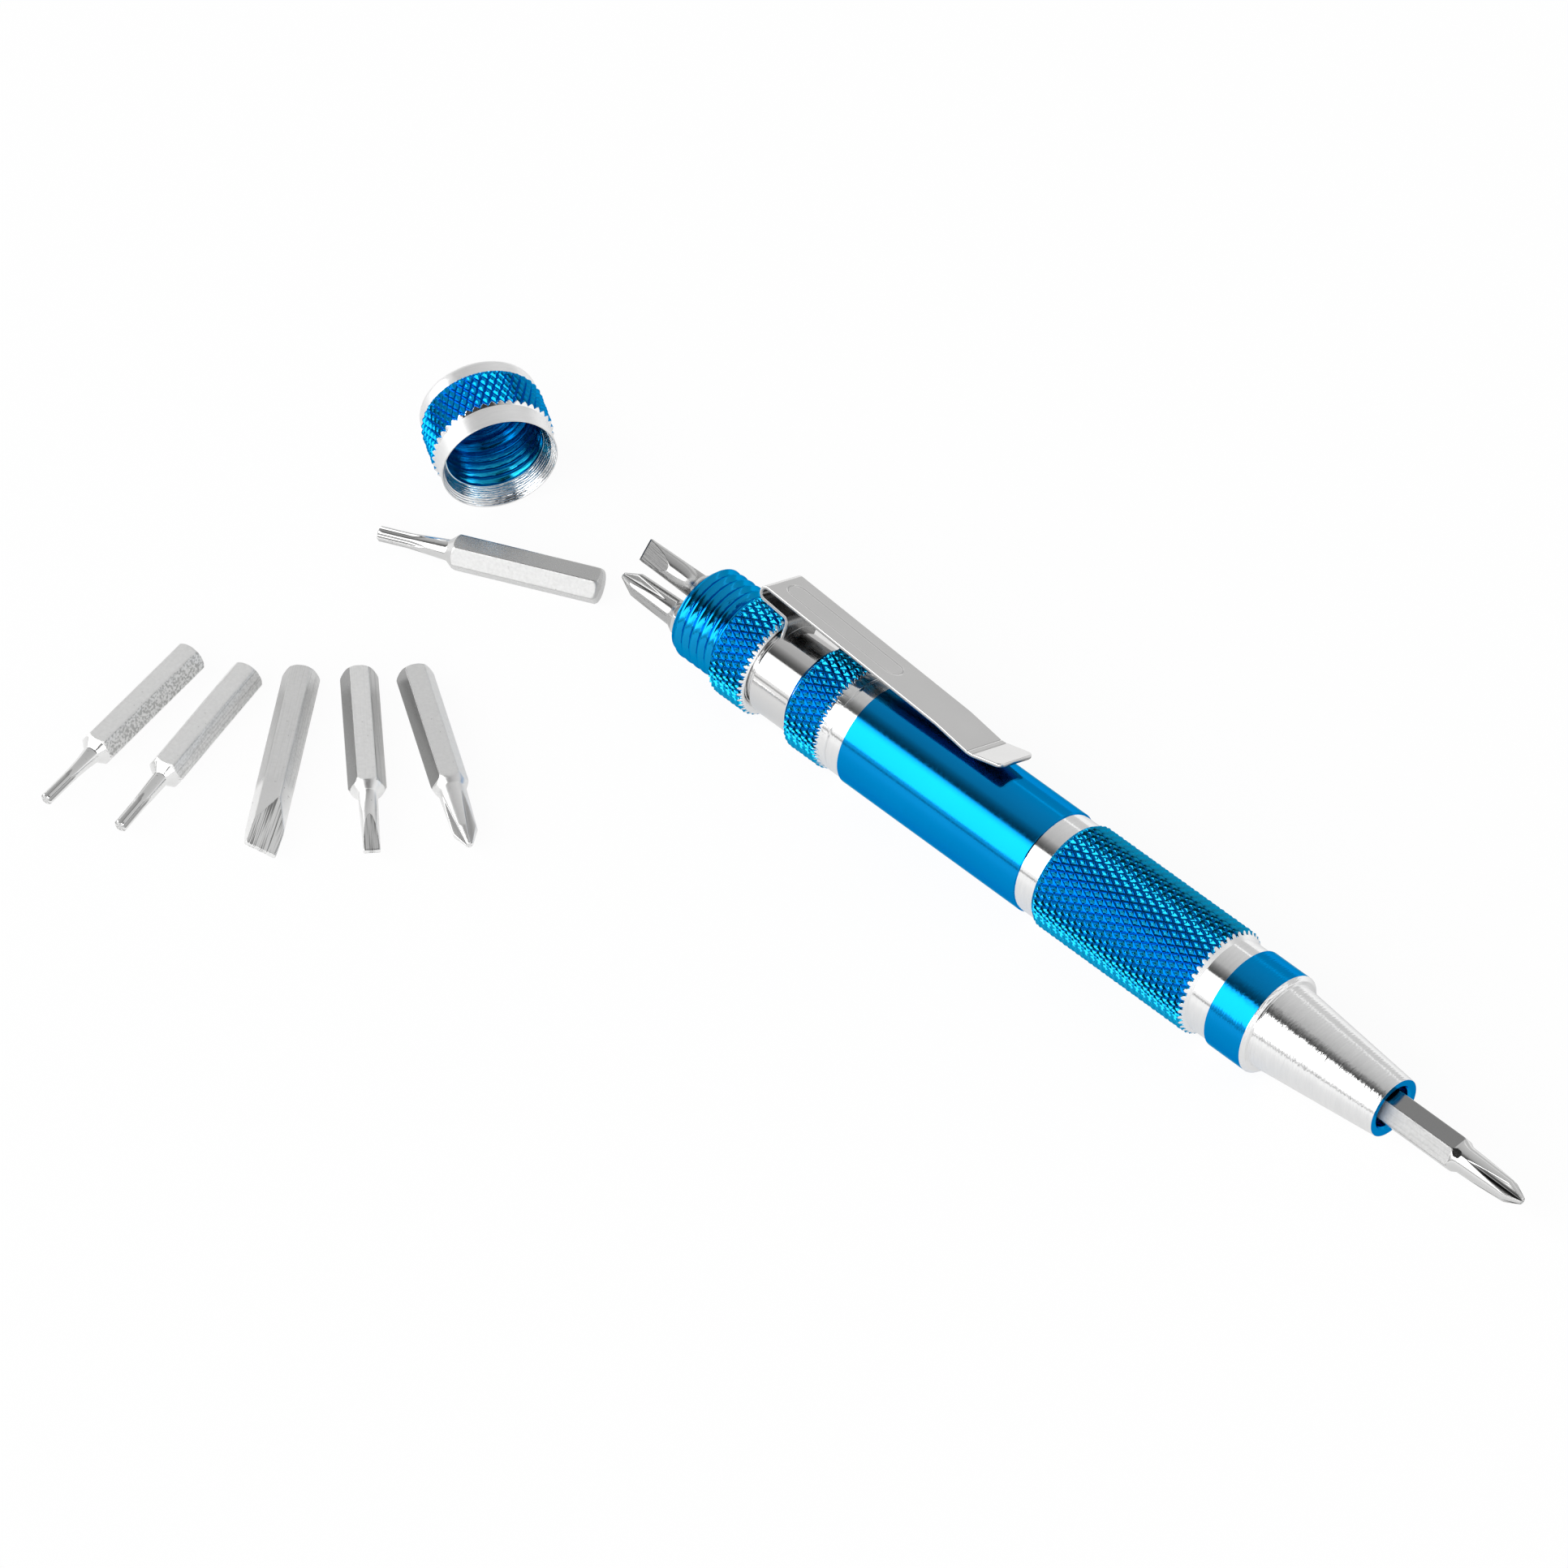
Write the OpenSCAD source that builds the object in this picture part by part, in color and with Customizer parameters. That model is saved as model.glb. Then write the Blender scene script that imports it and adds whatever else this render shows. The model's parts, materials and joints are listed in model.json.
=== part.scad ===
// Pocket screwdriver: a knurled, pen-shaped barrel with a pocket clip, a bit store that
// a screw cap closes, a nose with a magnetic hexagon socket, and its bits.
// Millimetres. +X runs along the barrel towards the driver tip and +Z is up.
// The origin is on the barrel's axis, on the shoulder that the screw cap seats on.

/* [Bits] */
// Hexagon across flats
bit_af = 4; // [3.6:0.1:4.4]
// Length of a bit from its back end to its tip
bit_len = 28; // [25:0.5:32]
// Length of the shaped front end of a bit, shoulder included
bit_front_len = 10; // [8:0.5:12]
// Length of the cone between the hexagon and the neck
bit_shoulder_len = 1.2; // [0.6:0.1:2]
// Rounding at the back end of a bit
bit_round = 0.75; // [0.4:0.05:1]
// Radius of a cross tip's neck
cross_neck_r = 1.7; // [1.3:0.05:1.9]
// Radius of a cross tip at its blunt point
cross_point_r = 0.42; // [0.25:0.01:0.6]
// Radius of a cross tip where its end cone starts
cross_cone_r = 1.46; // [1.1:0.02:1.6]
// Length of a cross tip's end cone
cross_cone_len = 2.1; // [1.4:0.1:3]
// Distance of a cross tip's flutes from its axis at the point
cross_web_r = 0.32; // [0.2:0.02:0.4]
// Length of the plain neck behind a cross tip's flutes
cross_plain_len = 1; // [0.5:0.1:2]
// Radius of a large star tip
star_large_r = 0.94; // [0.8:0.02:1.2]
// Radius of the neck behind it
star_large_neck_r = 1.3; // [1.2:0.05:1.7]
// Radius of a middle star tip
star_middle_r = 0.82; // [0.7:0.02:0.96]
// Radius of the neck behind it
star_middle_neck_r = 1; // [0.98:0.02:1.4]
// Radius of a small star tip
star_small_r = 0.76; // [0.6:0.02:1]
// Radius of the neck behind it
star_small_neck_r = 1.15; // [1.05:0.05:1.5]
// Straight length of a star tip's lobes
star_lobe_len = 4; // [3:0.25:5.5]
// Angle at which the grooves between the lobes run out
star_runout = 12; // [8:1:20]
// Chamfer at the end of a star tip
star_chamfer = 0.16; // [0.08:0.02:0.24]
// Width of the neck blade
blade_wide = 2.9; // [2.4:0.1:3.4]
// Width of the narrow blade
blade_narrow = 2; // [1.5:0.1:2.4]
// Growth of a neck blade's radius towards its root
blade_flare = 0.2; // [0.05:0.05:0.3]
// Thickness of a blade at its edge
blade_edge = 0.5; // [0.3:0.05:0.8]
// Ground length of a neck blade
blade_ground_len = 4.4; // [3:0.1:6]
// Ground length of the blade that is as wide as the hexagon
blade_full_ground_len = 7; // [5:0.25:9]

/* [Barrel] */
// Radius over the knurl
knurl_r = 7; // [6.7:0.05:7.5]
// Radius of the smooth middle
smooth_r = 6.75; // [6.5:0.05:6.9]
// Radius of the bright bands
band_r = 6.55; // [6.3:0.05:6.7]
// Radius of the front neck
neck_r = 6.2; // [5.8:0.05:6.4]
// Wall of the tail between the bit store and the thread's crests
tail_wall = 1.25; // [1.2:0.05:1.4]
// Length of the tail thread
thread_len = 7.4; // [6:0.2:10]
// Chamfer at the tail
tail_chamfer = 0.8; // [0.3:0.1:1.2]
// Length of the knurl behind the clip
knurl_a_len = 5.6; // [4:0.2:8]
// Length of the knurl in front of the clip
knurl_b_len = 5.5; // [4:0.1:8]
// Length of the front grip knurl
knurl_c_len = 23.5; // [18:0.5:30]
// Bright chamfer at the front of a knurl
knurl_chamfer = 0.6; // [0.3:0.05:0.8]
// Blue chamfer at the back of the first two knurls
knurl_edge = 0.3; // [0.1:0.05:0.5]
// Length of the bright band behind the smooth middle
rear_band_len = 3.4; // [2:0.1:5]
// Distance of the fine groove from the back of that band
fine_groove_at = 1.1; // [0.6:0.1:2]
// Width and depth of that groove
fine_groove = 0.3; // [0.15:0.05:0.5]
// Length of the smooth middle
smooth_len = 28.4; // [24:0.2:34]
// Length of the bright band behind the front grip
front_band_len = 2.8; // [1.5:0.1:4]
// Length of the front neck, its cone included
neck_len = 3.7; // [2.5:0.1:5]
// Chamfer at the mouth of the bit store
store_chamfer = 0.4; // [0.2:0.05:0.6]

/* [Nose] */
// Radius of the blue collar
collar_r = 6.5; // [6.2:0.05:6.8]
// Length of the blue collar
collar_len = 5.9; // [4:0.1:8]
// Chamfer at the front of the collar
collar_chamfer = 0.45; // [0.2:0.05:0.8]
// Radius of the cone where it leaves the collar
cone_r = 5.5; // [5:0.05:5.9]
// Radius of the flat nose face
nose_r = 3.83; // [3.5:0.01:4.3]
// Length of the cone
cone_len = 17.5; // [14:0.5:22]
// Length of the spigot that plugs the barrel
spigot_len = 6; // [4:0.5:8]
// Wall of the hexagon sleeve at the hexagon's corners
sleeve_wall = 0.28; // [0.2:0.02:0.4]
// Distance of the sleeve behind the nose face
sleeve_setback = 2.5; // [1.5:0.1:4]
// Chamfer at the mouth of the nose
mouth_chamfer = 0.3; // [0.15:0.05:0.5]
// Length of the magnet
magnet_len = 4; // [2:0.5:6]
// Depth of the seated bit behind the nose face
bit_seat_depth = 8.3; // [7:0.1:10]

/* [Clip] */
// Thickness of the clip's strip
strip_t = 0.5; // [0.4:0.05:0.7]
// Width of the clip's strip
strip_w = 6.4; // [5:0.1:8]
// Width of the clip's ring along the barrel
ring_w = 5.8; // [4.5:0.1:6.5]
// Open angle of the ring, under the barrel
ring_gap = 40; // [20:5:70]
// Lean of the clip to the far side
clip_lean = 24; // [0:1:40]
// Mean radius of the hairpin bend
hairpin_r = 0.75; // [0.5:0.05:1]
// Distance of the hairpin's centre behind the ring
hairpin_back = 3.8; // [3:0.05:5]
// Climb of the strip from the riser to the hairpin
riser_climb = 0.4; // [0.1:0.05:0.5]
// Rounding of the bend at the top of the riser
bend_r = 0.7; // [0.4:0.05:1]
// Rounding of the arm's two bends
arm_bend_r = 4; // [2:0.5:6]
// Height of the hairpin's centre over the axis
hairpin_h = 8.8; // [8.5:0.05:9.5]
// Length of the arm from the hairpin to its lowest point
arm_len = 33.6; // [28:0.2:38]
// Length of the steep part before that point
arm_dip_len = 5.6; // [4:0.2:8]
// Height of the steep part
arm_dip_h = 0.75; // [0.4:0.05:1.2]
// Length of the turned-up toe
toe_len = 4.6; // [3:0.1:6]
// Rise of the turned-up toe
toe_rise = 1.1; // [0.6:0.05:1.8]
// Distance of the pressed panel from the hairpin's centre
panel_from = 0.8; // [0.5:0.1:3]
// Length of the pressed panel on the arm
panel_len = 18.4; // [10:0.2:22]
// Width of the pressed panel
panel_w = 2.6; // [1.5:0.1:4]
// Depth of the pressed panel
panel_depth = 0.12; // [0.05:0.01:0.2]

/* [Cap] */
// Depth of the bright flared mouth in front of the thread
cap_mouth_len = 2.4; // [1.5:0.1:3.5]
// Widening of that mouth, from the thread to the rim
cap_mouth_flare = 0.95; // [0.6:0.05:1.2]
// Width of the flat rim round the mouth
cap_rim = 0.15; // [0.05:0.05:0.3]
// Length of the bright lip outside
cap_lip_len = 2.8; // [1.5:0.1:3.5]
// Rise of the cap's knurl over the lip
cap_knurl_rise = 0.45; // [0.3:0.05:0.8]
// Length of the cap's knurl, its chamfers included
cap_knurl_len = 5.7; // [4:0.1:7]
// Drop from the knurl to the bright closed end
cap_end_drop = 0.3; // [0.1:0.05:0.5]
// Rounding of the closed end
cap_end_round = 1.2; // [0.5:0.1:2]
// Wall of the closed end
cap_end_wall = 1.8; // [1:0.1:3]
// Room for the stored bits behind the tail when the cap is on
cap_room = 1.4; // [1:0.1:4]

/* [Fits] */
// Radial clearance of the cap's thread on the tail
thread_clearance = 0.05; // [0.02:0.01:0.1]
// Clearance of a bit in the hexagon sleeve, on each flat
hex_clearance = 0.05; // [0.02:0.01:0.1]
// Distance of the stored bits' corners from the store's axis
store_clearance = 0.05; // [0.02:0.01:0.1]
// Clearance of the stored bits' outer corners in the store
store_slack = 0.08; // [0.04:0.01:0.15]
// Radial clearance of pressed pieces
press_clearance = 0.02; // [0.01:0.01:0.04]
// Radial clearance of the magnet between the hexagon's flats
magnet_clearance = 0.1; // [0.02:0.01:0.2]
// Radial clearance of the clip's ring on its groove
ring_clearance = 0.05; // [0.02:0.01:0.1]
// Clearance at both ends of the ring in its groove
ring_side_gap = 0.45; // [0.2:0.05:0.8]
// Clearance under the clip where it runs over the barrel
clip_clearance = 0.2; // [0.1:0.05:0.5]
// Angle left open at the hairpin for the arm's flex
flex_gap = 12; // [8:1:16]
// Clearance behind the seated bit
seat_clearance = 0.05; // [0.02:0.01:0.1]

/* [Layout] */
// Angle of the first stored bit round the store
store_turn = 75; // [60:1:110]
// Length of the first stored bit that stands out of the tail
store_out_blade = 10.2; // [4:0.2:14]
// Length of the second stored bit that stands out of the tail
store_out_cross = 11; // [4:0.2:14]
// Place of the cap's mouth along the barrel
cap_x = -41.1; // [-60:0.1:-38]
// Place of the cap's mouth across the barrel
cap_y = -0.6; // [-10:0.1:10]
// Direction that the cap's mouth faces
cap_turn = -29.5; // [-60:0.5:0]
// Back end and direction of the star bit by the cap
star_by_cap = [-22, -2.6, -153.7]; // [-180:0.1:180]
// Back end and direction of the first bit in the row
row_star_small = [-48.4, -44.6, -80.6]; // [-180:0.1:180]
// Back end and direction of the second bit in the row
row_star_middle = [-41.5, -41.9, -75.7]; // [-180:0.1:180]
// Back end and direction of the third bit in the row
row_blade_full = [-36.9, -37.5, -53.7]; // [-180:0.1:180]
// Back end and direction of the fourth bit in the row
row_blade_narrow = [-32.1, -32.8, -40.8]; // [-180:0.1:180]
// Back end and direction of the fifth bit in the row
row_cross = [-27.6, -28.1, -30.8]; // [-180:0.1:180]

/* [Hidden] */

// Smoothness of round shapes
$fn = 96;
// Steps in a rounded corner of a profile
round_steps = 6;
// Overlap of cutters past the faces that they cut
cut = 0.1;
// Radius over a bit's corners
bit_corner_r = bit_af / sqrt(3);
// Where the hexagon of a bit ends
hex_len = bit_len - bit_front_len;
// Radius of the grooves of a star profile, as a share of the star's radius
star_groove_share = 0.32;
// Distance of those grooves' centres from the axis, as such a share
star_groove_place = 1.04;
// Radius of the bit store, round three bits whose corners meet at its axis
store_r = 2 * bit_corner_r + store_clearance + store_slack;
// Radius of the tail thread
thread_r = store_r + tail_wall;
// Corner radius of the hexagon in the sleeve, and the sleeve's radius
hex_hole_r = (bit_af / 2 + hex_clearance) / cos(30);
sleeve_r = hex_hole_r + sleeve_wall;
// Radius of the magnet, which lies between the hexagon's flats
magnet_r = bit_af / 2 + hex_clearance - magnet_clearance;
// The surface that everything lies on
ground_z = -knurl_r;
// Colours of the finishes
blue = "#0a78c8";
bright = "#d9dadc";
chrome = "#c4c6c9";
steel = "#b9bbbd";

// Stations along the barrel
x_tail = -thread_len;
x_groove = knurl_a_len;
groove_len = ring_w + 2 * ring_side_gap;
x_knurl_b = x_groove + groove_len;
x_rear_band = x_knurl_b + knurl_b_len;
x_smooth = x_rear_band + rear_band_len;
x_front_band = x_smooth + smooth_len;
x_knurl_c = x_front_band + front_band_len;
x_neck = x_knurl_c + knurl_c_len;
x_front = x_neck + neck_len;
x_cone = x_front + collar_len;
x_nose = x_cone + cone_len;
x_bit_seat = x_nose - bit_seat_depth;
x_socket = x_bit_seat - seat_clearance - magnet_len;

// The clip's ring sits in the groove behind the second knurl
ring_in_r = thread_r - strip_t;
groove_r = ring_in_r - ring_clearance;
x_ring = x_groove + ring_side_gap;
x_hairpin = x_ring - hairpin_back;
// Height of the strip's middle over the knurl, behind the ring
riser_h = max(knurl_r + clip_clearance + strip_t / 2, hairpin_h - hairpin_r - riser_climb);
// Height of the strip's middle where the arm comes nearest to the barrel
toe_h = smooth_r + clip_clearance + strip_t / 2;

// Sizes of the cap, from the thread outwards and from the tail backwards
cap_bore_r = thread_r + thread_clearance;
cap_lip_r = cap_bore_r + cap_mouth_flare + cap_rim;
cap_knurl_r = cap_lip_r + cap_knurl_rise;
cap_end_r = cap_knurl_r - cap_end_drop;
cap_depth = thread_len + cap_room;
cap_len = cap_depth + cap_end_wall;

// Turns a shape made along +Z so that it lies along +X
module along_x() {
    rotate([0, 90, 0])
        children();
}

// A turned solid along +X from [radius, station] points
module turned(points) {
    along_x()
        rotate_extrude()
            polygon(points);
}

// Points of an arc of radius r round centre, from one angle to another
function arc(centre, r, from, to) = [
    for (i = [0:round_steps])
        let (a = from + (to - from) * i / round_steps)
        [centre[0] + r * cos(a), centre[1] + r * sin(a)]
];

// The hexagon shank of a bit along +Z, with a flat towards +X,
// rounded at its back and coned to the neck at its front
module shank(neck_radius) {
    intersection() {
        rotate(30)
            cylinder(r = bit_corner_r, h = bit_len, $fn = 6);
        rotate_extrude()
            polygon(concat(
                [[0, 0]],
                arc([bit_corner_r - bit_round, bit_round], bit_round, -90, 0),
                [[bit_corner_r, hex_len],
                 [neck_radius, hex_len + bit_shoulder_len],
                 [0, hex_len + bit_shoulder_len]]));
    }
}

// A cross-tip bit along +Z, with its first flute at the angle turn
module cross_bit(turn = 30) {
    flute_len = bit_front_len - bit_shoulder_len - cross_plain_len;
    flute_tilt = atan((cross_neck_r - cross_web_r) / flute_len);
    wide = 3 * cross_neck_r;
    color(steel)
        difference() {
            union() {
                shank(cross_neck_r);
                translate([0, 0, hex_len])
                    rotate_extrude()
                        polygon([[0, 0], [cross_neck_r, 0],
                            [cross_neck_r, bit_shoulder_len],
                            [cross_cone_r, bit_front_len - cross_cone_len],
                            [cross_point_r, bit_front_len],
                            [0, bit_front_len]]);
            }
            for (i = [0:3])
                rotate(turn + 90 * i)
                    translate([cross_web_r, 0, bit_len])
                        rotate([0, -flute_tilt, 0])
                            translate([0, 0, -bit_front_len])
                                linear_extrude(bit_front_len + 2 * cross_neck_r)
                                    polygon([[0, 0], [wide, wide], [wide, -wide]]);
        }
}

// A star-tip bit along +Z whose lobes reach the radius tip_r, on a neck of radius neck_radius
module star_bit(tip_r, neck_radius) {
    lobe_from = bit_len - star_lobe_len;
    groove = tip_r * star_groove_share;
    groove_at = tip_r * star_groove_place;
    color(steel)
        difference() {
            union() {
                shank(neck_radius);
                translate([0, 0, hex_len])
                    rotate_extrude()
                        polygon([[0, 0], [neck_radius, 0],
                            [neck_radius, bit_shoulder_len],
                            [tip_r, bit_front_len - star_lobe_len],
                            [tip_r, bit_front_len - star_chamfer],
                            [tip_r - star_chamfer, bit_front_len],
                            [0, bit_front_len]]);
            }
            for (i = [0:5])
                rotate(60 * i)
                    translate([groove_at, 0, lobe_from])
                        star_groove(groove);
        }
}

// One groove of a star tip, straight along the lobes and tilted outwards where it runs out,
// with both parts cut on the plane that halves the angle between them
module star_groove(r) {
    runout_len = bit_front_len - bit_shoulder_len - star_lobe_len;
    intersection() {
        translate([0, 0, -r])
            cylinder(r = r, h = r + star_lobe_len + cut);
        rotate([0, -star_runout / 2, 0])
            translate([-bit_af / 2, -bit_af / 2, 0])
                cube([bit_af, bit_af, bit_front_len]);
    }
    intersection() {
        rotate([0, -star_runout, 0])
            translate([0, 0, -runout_len])
                cylinder(r = r, h = runout_len + r);
        rotate([0, -star_runout / 2, 0])
            translate([-bit_af / 2, -bit_af / 2, -bit_front_len])
                cube([bit_af, bit_af, bit_front_len]);
    }
}

// The two planes that grind a blade: ground is their length and full_t the thickness they start at
module blade_grind(ground, full_t, turn) {
    slope = atan((full_t - blade_edge) / 2 / ground);
    for (side = [0, 180])
        rotate(turn + side)
            translate([blade_edge / 2, 0, bit_len])
                rotate([0, -slope, 0])
                    translate([0, -bit_af, -2 * ground])
                        cube([2 * bit_af, 2 * bit_af, 2 * ground + bit_af]);
}

// A blade bit on a round neck along +Z, as wide as width, with its flats towards the angle turn
module blade_bit(width, turn = 0) {
    root_r = min(width / 2 + blade_flare, bit_af / 2);
    color(steel)
        difference() {
            union() {
                shank(root_r);
                translate([0, 0, hex_len])
                    cylinder(r1 = root_r, r2 = width / 2, h = bit_front_len);
            }
            blade_grind(blade_ground_len, width, turn);
        }
}

// A blade bit that keeps the hexagon's width to its edge, along +Z
module blade_bit_hexagon(turn) {
    color(steel)
        difference() {
            intersection() {
                rotate(30)
                    cylinder(r = bit_corner_r, h = bit_len, $fn = 6);
                rotate_extrude()
                    polygon(concat(
                        [[0, 0]],
                        arc([bit_corner_r - bit_round, bit_round], bit_round, -90, 0),
                        [[bit_corner_r, bit_len], [0, bit_len]]));
            }
            blade_grind(blade_full_ground_len, 2 * bit_corner_r, turn);
        }
}

// Lays a bit on the ground, with its back end and direction from place
module laid(place) {
    translate([place[0], place[1], ground_z + bit_af / 2])
        rotate(place[2])
            along_x()
                children();
}

// Puts a bit in the store, standing out of the tail by the length out
module stored(slot, out) {
    turn = store_turn + 120 * slot;
    offset_r = bit_corner_r + store_clearance;
    translate([x_tail - out + bit_len, offset_r * cos(turn), offset_r * sin(turn)])
        rotate([turn, 0, 0])
            rotate([0, -90, 0])
                children();
}

// The turned barrel: tail thread, knurled grips, clip groove, bands, neck and the bit store
module barrel() {
    groove_x = x_rear_band + fine_groove_at;
    color(blue)
        turned([
            [store_r + store_chamfer, x_tail],
            [thread_r - tail_chamfer, x_tail],
            [thread_r, x_tail + tail_chamfer],
            [thread_r, 0],
            [knurl_r - knurl_edge, 0],
            [knurl_r, knurl_edge],
            [knurl_r, x_groove - knurl_chamfer],
            [knurl_r - knurl_chamfer, x_groove],
            [groove_r, x_groove],
            [groove_r, x_knurl_b],
            [knurl_r - knurl_edge, x_knurl_b],
            [knurl_r, x_knurl_b + knurl_edge],
            [knurl_r, x_rear_band - knurl_chamfer],
            [band_r, x_rear_band],
            [band_r, groove_x],
            [band_r - fine_groove, groove_x + fine_groove / 2],
            [band_r, groove_x + fine_groove],
            [band_r, x_smooth],
            [smooth_r, x_smooth],
            [smooth_r, x_front_band],
            [band_r, x_front_band],
            [band_r, x_knurl_c],
            [knurl_r, x_knurl_c + knurl_chamfer],
            [knurl_r, x_neck],
            [neck_r, x_neck + knurl_r - neck_r],
            [neck_r, x_front],
            [store_r, x_front],
            [store_r, x_tail + store_chamfer]
        ]);
}

// The nose: spigot, blue collar, bright cone and the bore for the hexagon sleeve
module nose() {
    bore_r = sleeve_r + press_clearance;
    color(bright)
        turned([
            [0, x_front - spigot_len],
            [store_r - press_clearance, x_front - spigot_len],
            [store_r - press_clearance, x_front],
            [collar_r, x_front],
            [collar_r, x_cone - collar_chamfer],
            [collar_r - collar_chamfer, x_cone],
            [cone_r, x_cone],
            [nose_r, x_nose],
            [bore_r + mouth_chamfer, x_nose],
            [bore_r, x_nose - mouth_chamfer],
            [bore_r, x_socket],
            [0, x_socket]
        ]);
}

// The steel sleeve with the hexagon that turns the bit
module hex_sleeve() {
    sleeve_len = x_nose - sleeve_setback - x_socket;
    color(steel)
        translate([x_socket, 0, 0])
            along_x()
                difference() {
                    cylinder(r = sleeve_r, h = sleeve_len);
                    translate([0, 0, -cut])
                        rotate(30)
                            cylinder(r = hex_hole_r, h = sleeve_len + 2 * cut, $fn = 6);
                }
}

// The magnet at the bottom of the sleeve that holds the bit
module magnet() {
    color("dimgray")
        translate([x_socket, 0, 0])
            along_x()
                cylinder(r = magnet_r, h = magnet_len);
}

// Unit direction from point a to point b
function heading(a, b) = (b - a) / norm(b - a);

// The middle line of a bent strip: straight runs joined by round bends of radius r
function bent(points, r) = concat(
    [points[0]],
    [for (i = [1:len(points) - 2])
        let (
            u = heading(points[i - 1], points[i]),
            v = heading(points[i], points[i + 1]),
            turn = atan2(u[0] * v[1] - u[1] * v[0], u * v),
            reach = r * tan(abs(turn) / 2),
            side = sign(turn),
            centre = points[i] - reach * u + r * side * [-u[1], u[0]]
        )
        for (k = [0:round_steps])
            let (a = turn * k / round_steps)
            centre + r * side * [u[1] * cos(a) + u[0] * sin(a), -u[0] * cos(a) + u[1] * sin(a)]],
    [points[len(points) - 1]]);

// A list without its first item
function rest(list) = [for (i = [1:len(list) - 1]) list[i]];

// Outline of a strip of thickness strip_t round the middle line path
function strip_outline(path) =
    let (
        n = len(path) - 1,
        normal = [for (i = [0:n])
            let (u = heading(path[max(i - 1, 0)], path[min(i + 1, n)]))
            [-u[1], u[0]]]
    )
    concat(
        [for (i = [0:n]) path[i] + normal[i] * strip_t / 2],
        [for (i = [n:-1:0]) path[i] - normal[i] * strip_t / 2]);

// Sweeps a strip's outline, drawn along and up from the axis, across the width of the clip
module strip(outline) {
    rotate([90, 0, 0])
        translate([0, 0, -strip_w / 2])
            linear_extrude(strip_w)
                polygon(outline);
}

// Leans the clip, made upright, to the far side
module leaning() {
    rotate([-clip_lean, 0, 0])
        children();
}

// Points of the hairpin from one angle to another, on its middle line
function hairpin(from, to) = arc([x_hairpin, hairpin_h], hairpin_r, from, to);

// The clip's ring in the groove, with its riser up to the hairpin bend
module clip_band() {
    x_riser = x_ring + strip_t / 2;
    climb = atan((hairpin_h - hairpin_r - riser_h) / (x_riser - x_hairpin));
    bend = hairpin(-90 - climb, -180 + flex_gap / 2);
    path = concat(
        bent([[x_riser, ring_in_r - strip_t], [x_riser, riser_h], bend[0]], bend_r),
        rest(bend));
    color(chrome)
        leaning() {
            translate([x_ring, 0, 0])
                along_x()
                    difference() {
                        cylinder(r = ring_in_r + strip_t, h = ring_w);
                        translate([0, 0, -cut])
                            cylinder(r = ring_in_r, h = ring_w + 2 * cut);
                        linear_extrude(3 * ring_w, center = true)
                            polygon([[0, 0],
                                [2 * knurl_r, 2 * knurl_r * tan(ring_gap / 2)],
                                [2 * knurl_r, -2 * knurl_r * tan(ring_gap / 2)]]);
                    }
            difference() {
                strip(strip_outline(path));
                translate([x_groove, 0, 0])
                    along_x()
                        cylinder(r = ring_in_r, h = groove_len);
            }
        }
}

// The sprung arm from the hairpin bend over the barrel to its turned-up toe
module clip_arm() {
    x_toe = x_hairpin + arm_len;
    x_dip = x_toe - arm_dip_len;
    dip_h = toe_h + arm_dip_h;
    top_h = hairpin_h + hairpin_r;
    slope = atan((top_h - dip_h) / (x_dip - x_hairpin));
    bend = hairpin(180 - flex_gap / 2, 90 - slope);
    path = concat(
        bend,
        rest(bent([bend[round_steps],
                   [x_dip, dip_h],
                   [x_toe, toe_h],
                   [x_toe + toe_len, toe_h + toe_rise]], arm_bend_r)));
    color(chrome)
        leaning()
            difference() {
                strip(strip_outline(path));
                translate([x_hairpin, 0, top_h])
                    rotate([0, slope, 0])
                        translate([panel_from, 0, strip_t / 2 - panel_depth])
                            linear_extrude(strip_t)
                                panel();
            }
}

// The long round-ended panel that is pressed into the arm
module panel() {
    for (x = [panel_w / 2, panel_len - panel_w / 2])
        translate([x, 0])
            circle(d = panel_w);
    translate([panel_w / 2, -panel_w / 2])
        square([panel_len - panel_w, panel_w]);
}

// The screw cap, with its mouth at the origin and facing +X
module cap_turning() {
    x_knurl_end = -cap_lip_len - cap_knurl_len;
    turned(concat(
        [[0, -cap_depth],
         [cap_bore_r, -cap_depth],
         [cap_bore_r, -cap_mouth_len],
         [cap_lip_r - cap_rim, 0],
         [cap_lip_r, 0],
         [cap_lip_r, -cap_lip_len],
         [cap_knurl_r, -cap_lip_len - (cap_knurl_r - cap_lip_r)],
         [cap_knurl_r, x_knurl_end + (cap_knurl_r - cap_end_r)],
         [cap_end_r, x_knurl_end]],
        arc([cap_end_r - cap_end_round, cap_end_round - cap_len], cap_end_round, 0, -90),
        [[0, -cap_len]]));
}

// The screw cap, taken off and laid on its side
module cap() {
    color(blue)
        translate([cap_x, cap_y, ground_z + cap_knurl_r])
            rotate(cap_turn)
                cap_turning();
}

module cross_bit_chuck() {
    translate([x_bit_seat, 0, 0])
        along_x()
            cross_bit(30);
}

module blade_bit_store() {
    stored(0, store_out_blade)
        blade_bit(blade_wide, 28);
}

module cross_bit_store() {
    stored(1, store_out_cross)
        cross_bit(0);
}

module star_bit_large() {
    laid(star_by_cap)
        star_bit(star_large_r, star_large_neck_r);
}

module star_bit_small() {
    laid(row_star_small)
        star_bit(star_small_r, star_small_neck_r);
}

module star_bit_middle() {
    laid(row_star_middle)
        star_bit(star_middle_r, star_middle_neck_r);
}

module blade_bit_full() {
    laid(row_blade_full)
        blade_bit_hexagon(150);
}

module blade_bit_narrow() {
    laid(row_blade_narrow)
        blade_bit(blade_narrow, 0);
}

module cross_bit_row() {
    laid(row_cross)
        cross_bit(58);
}

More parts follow.
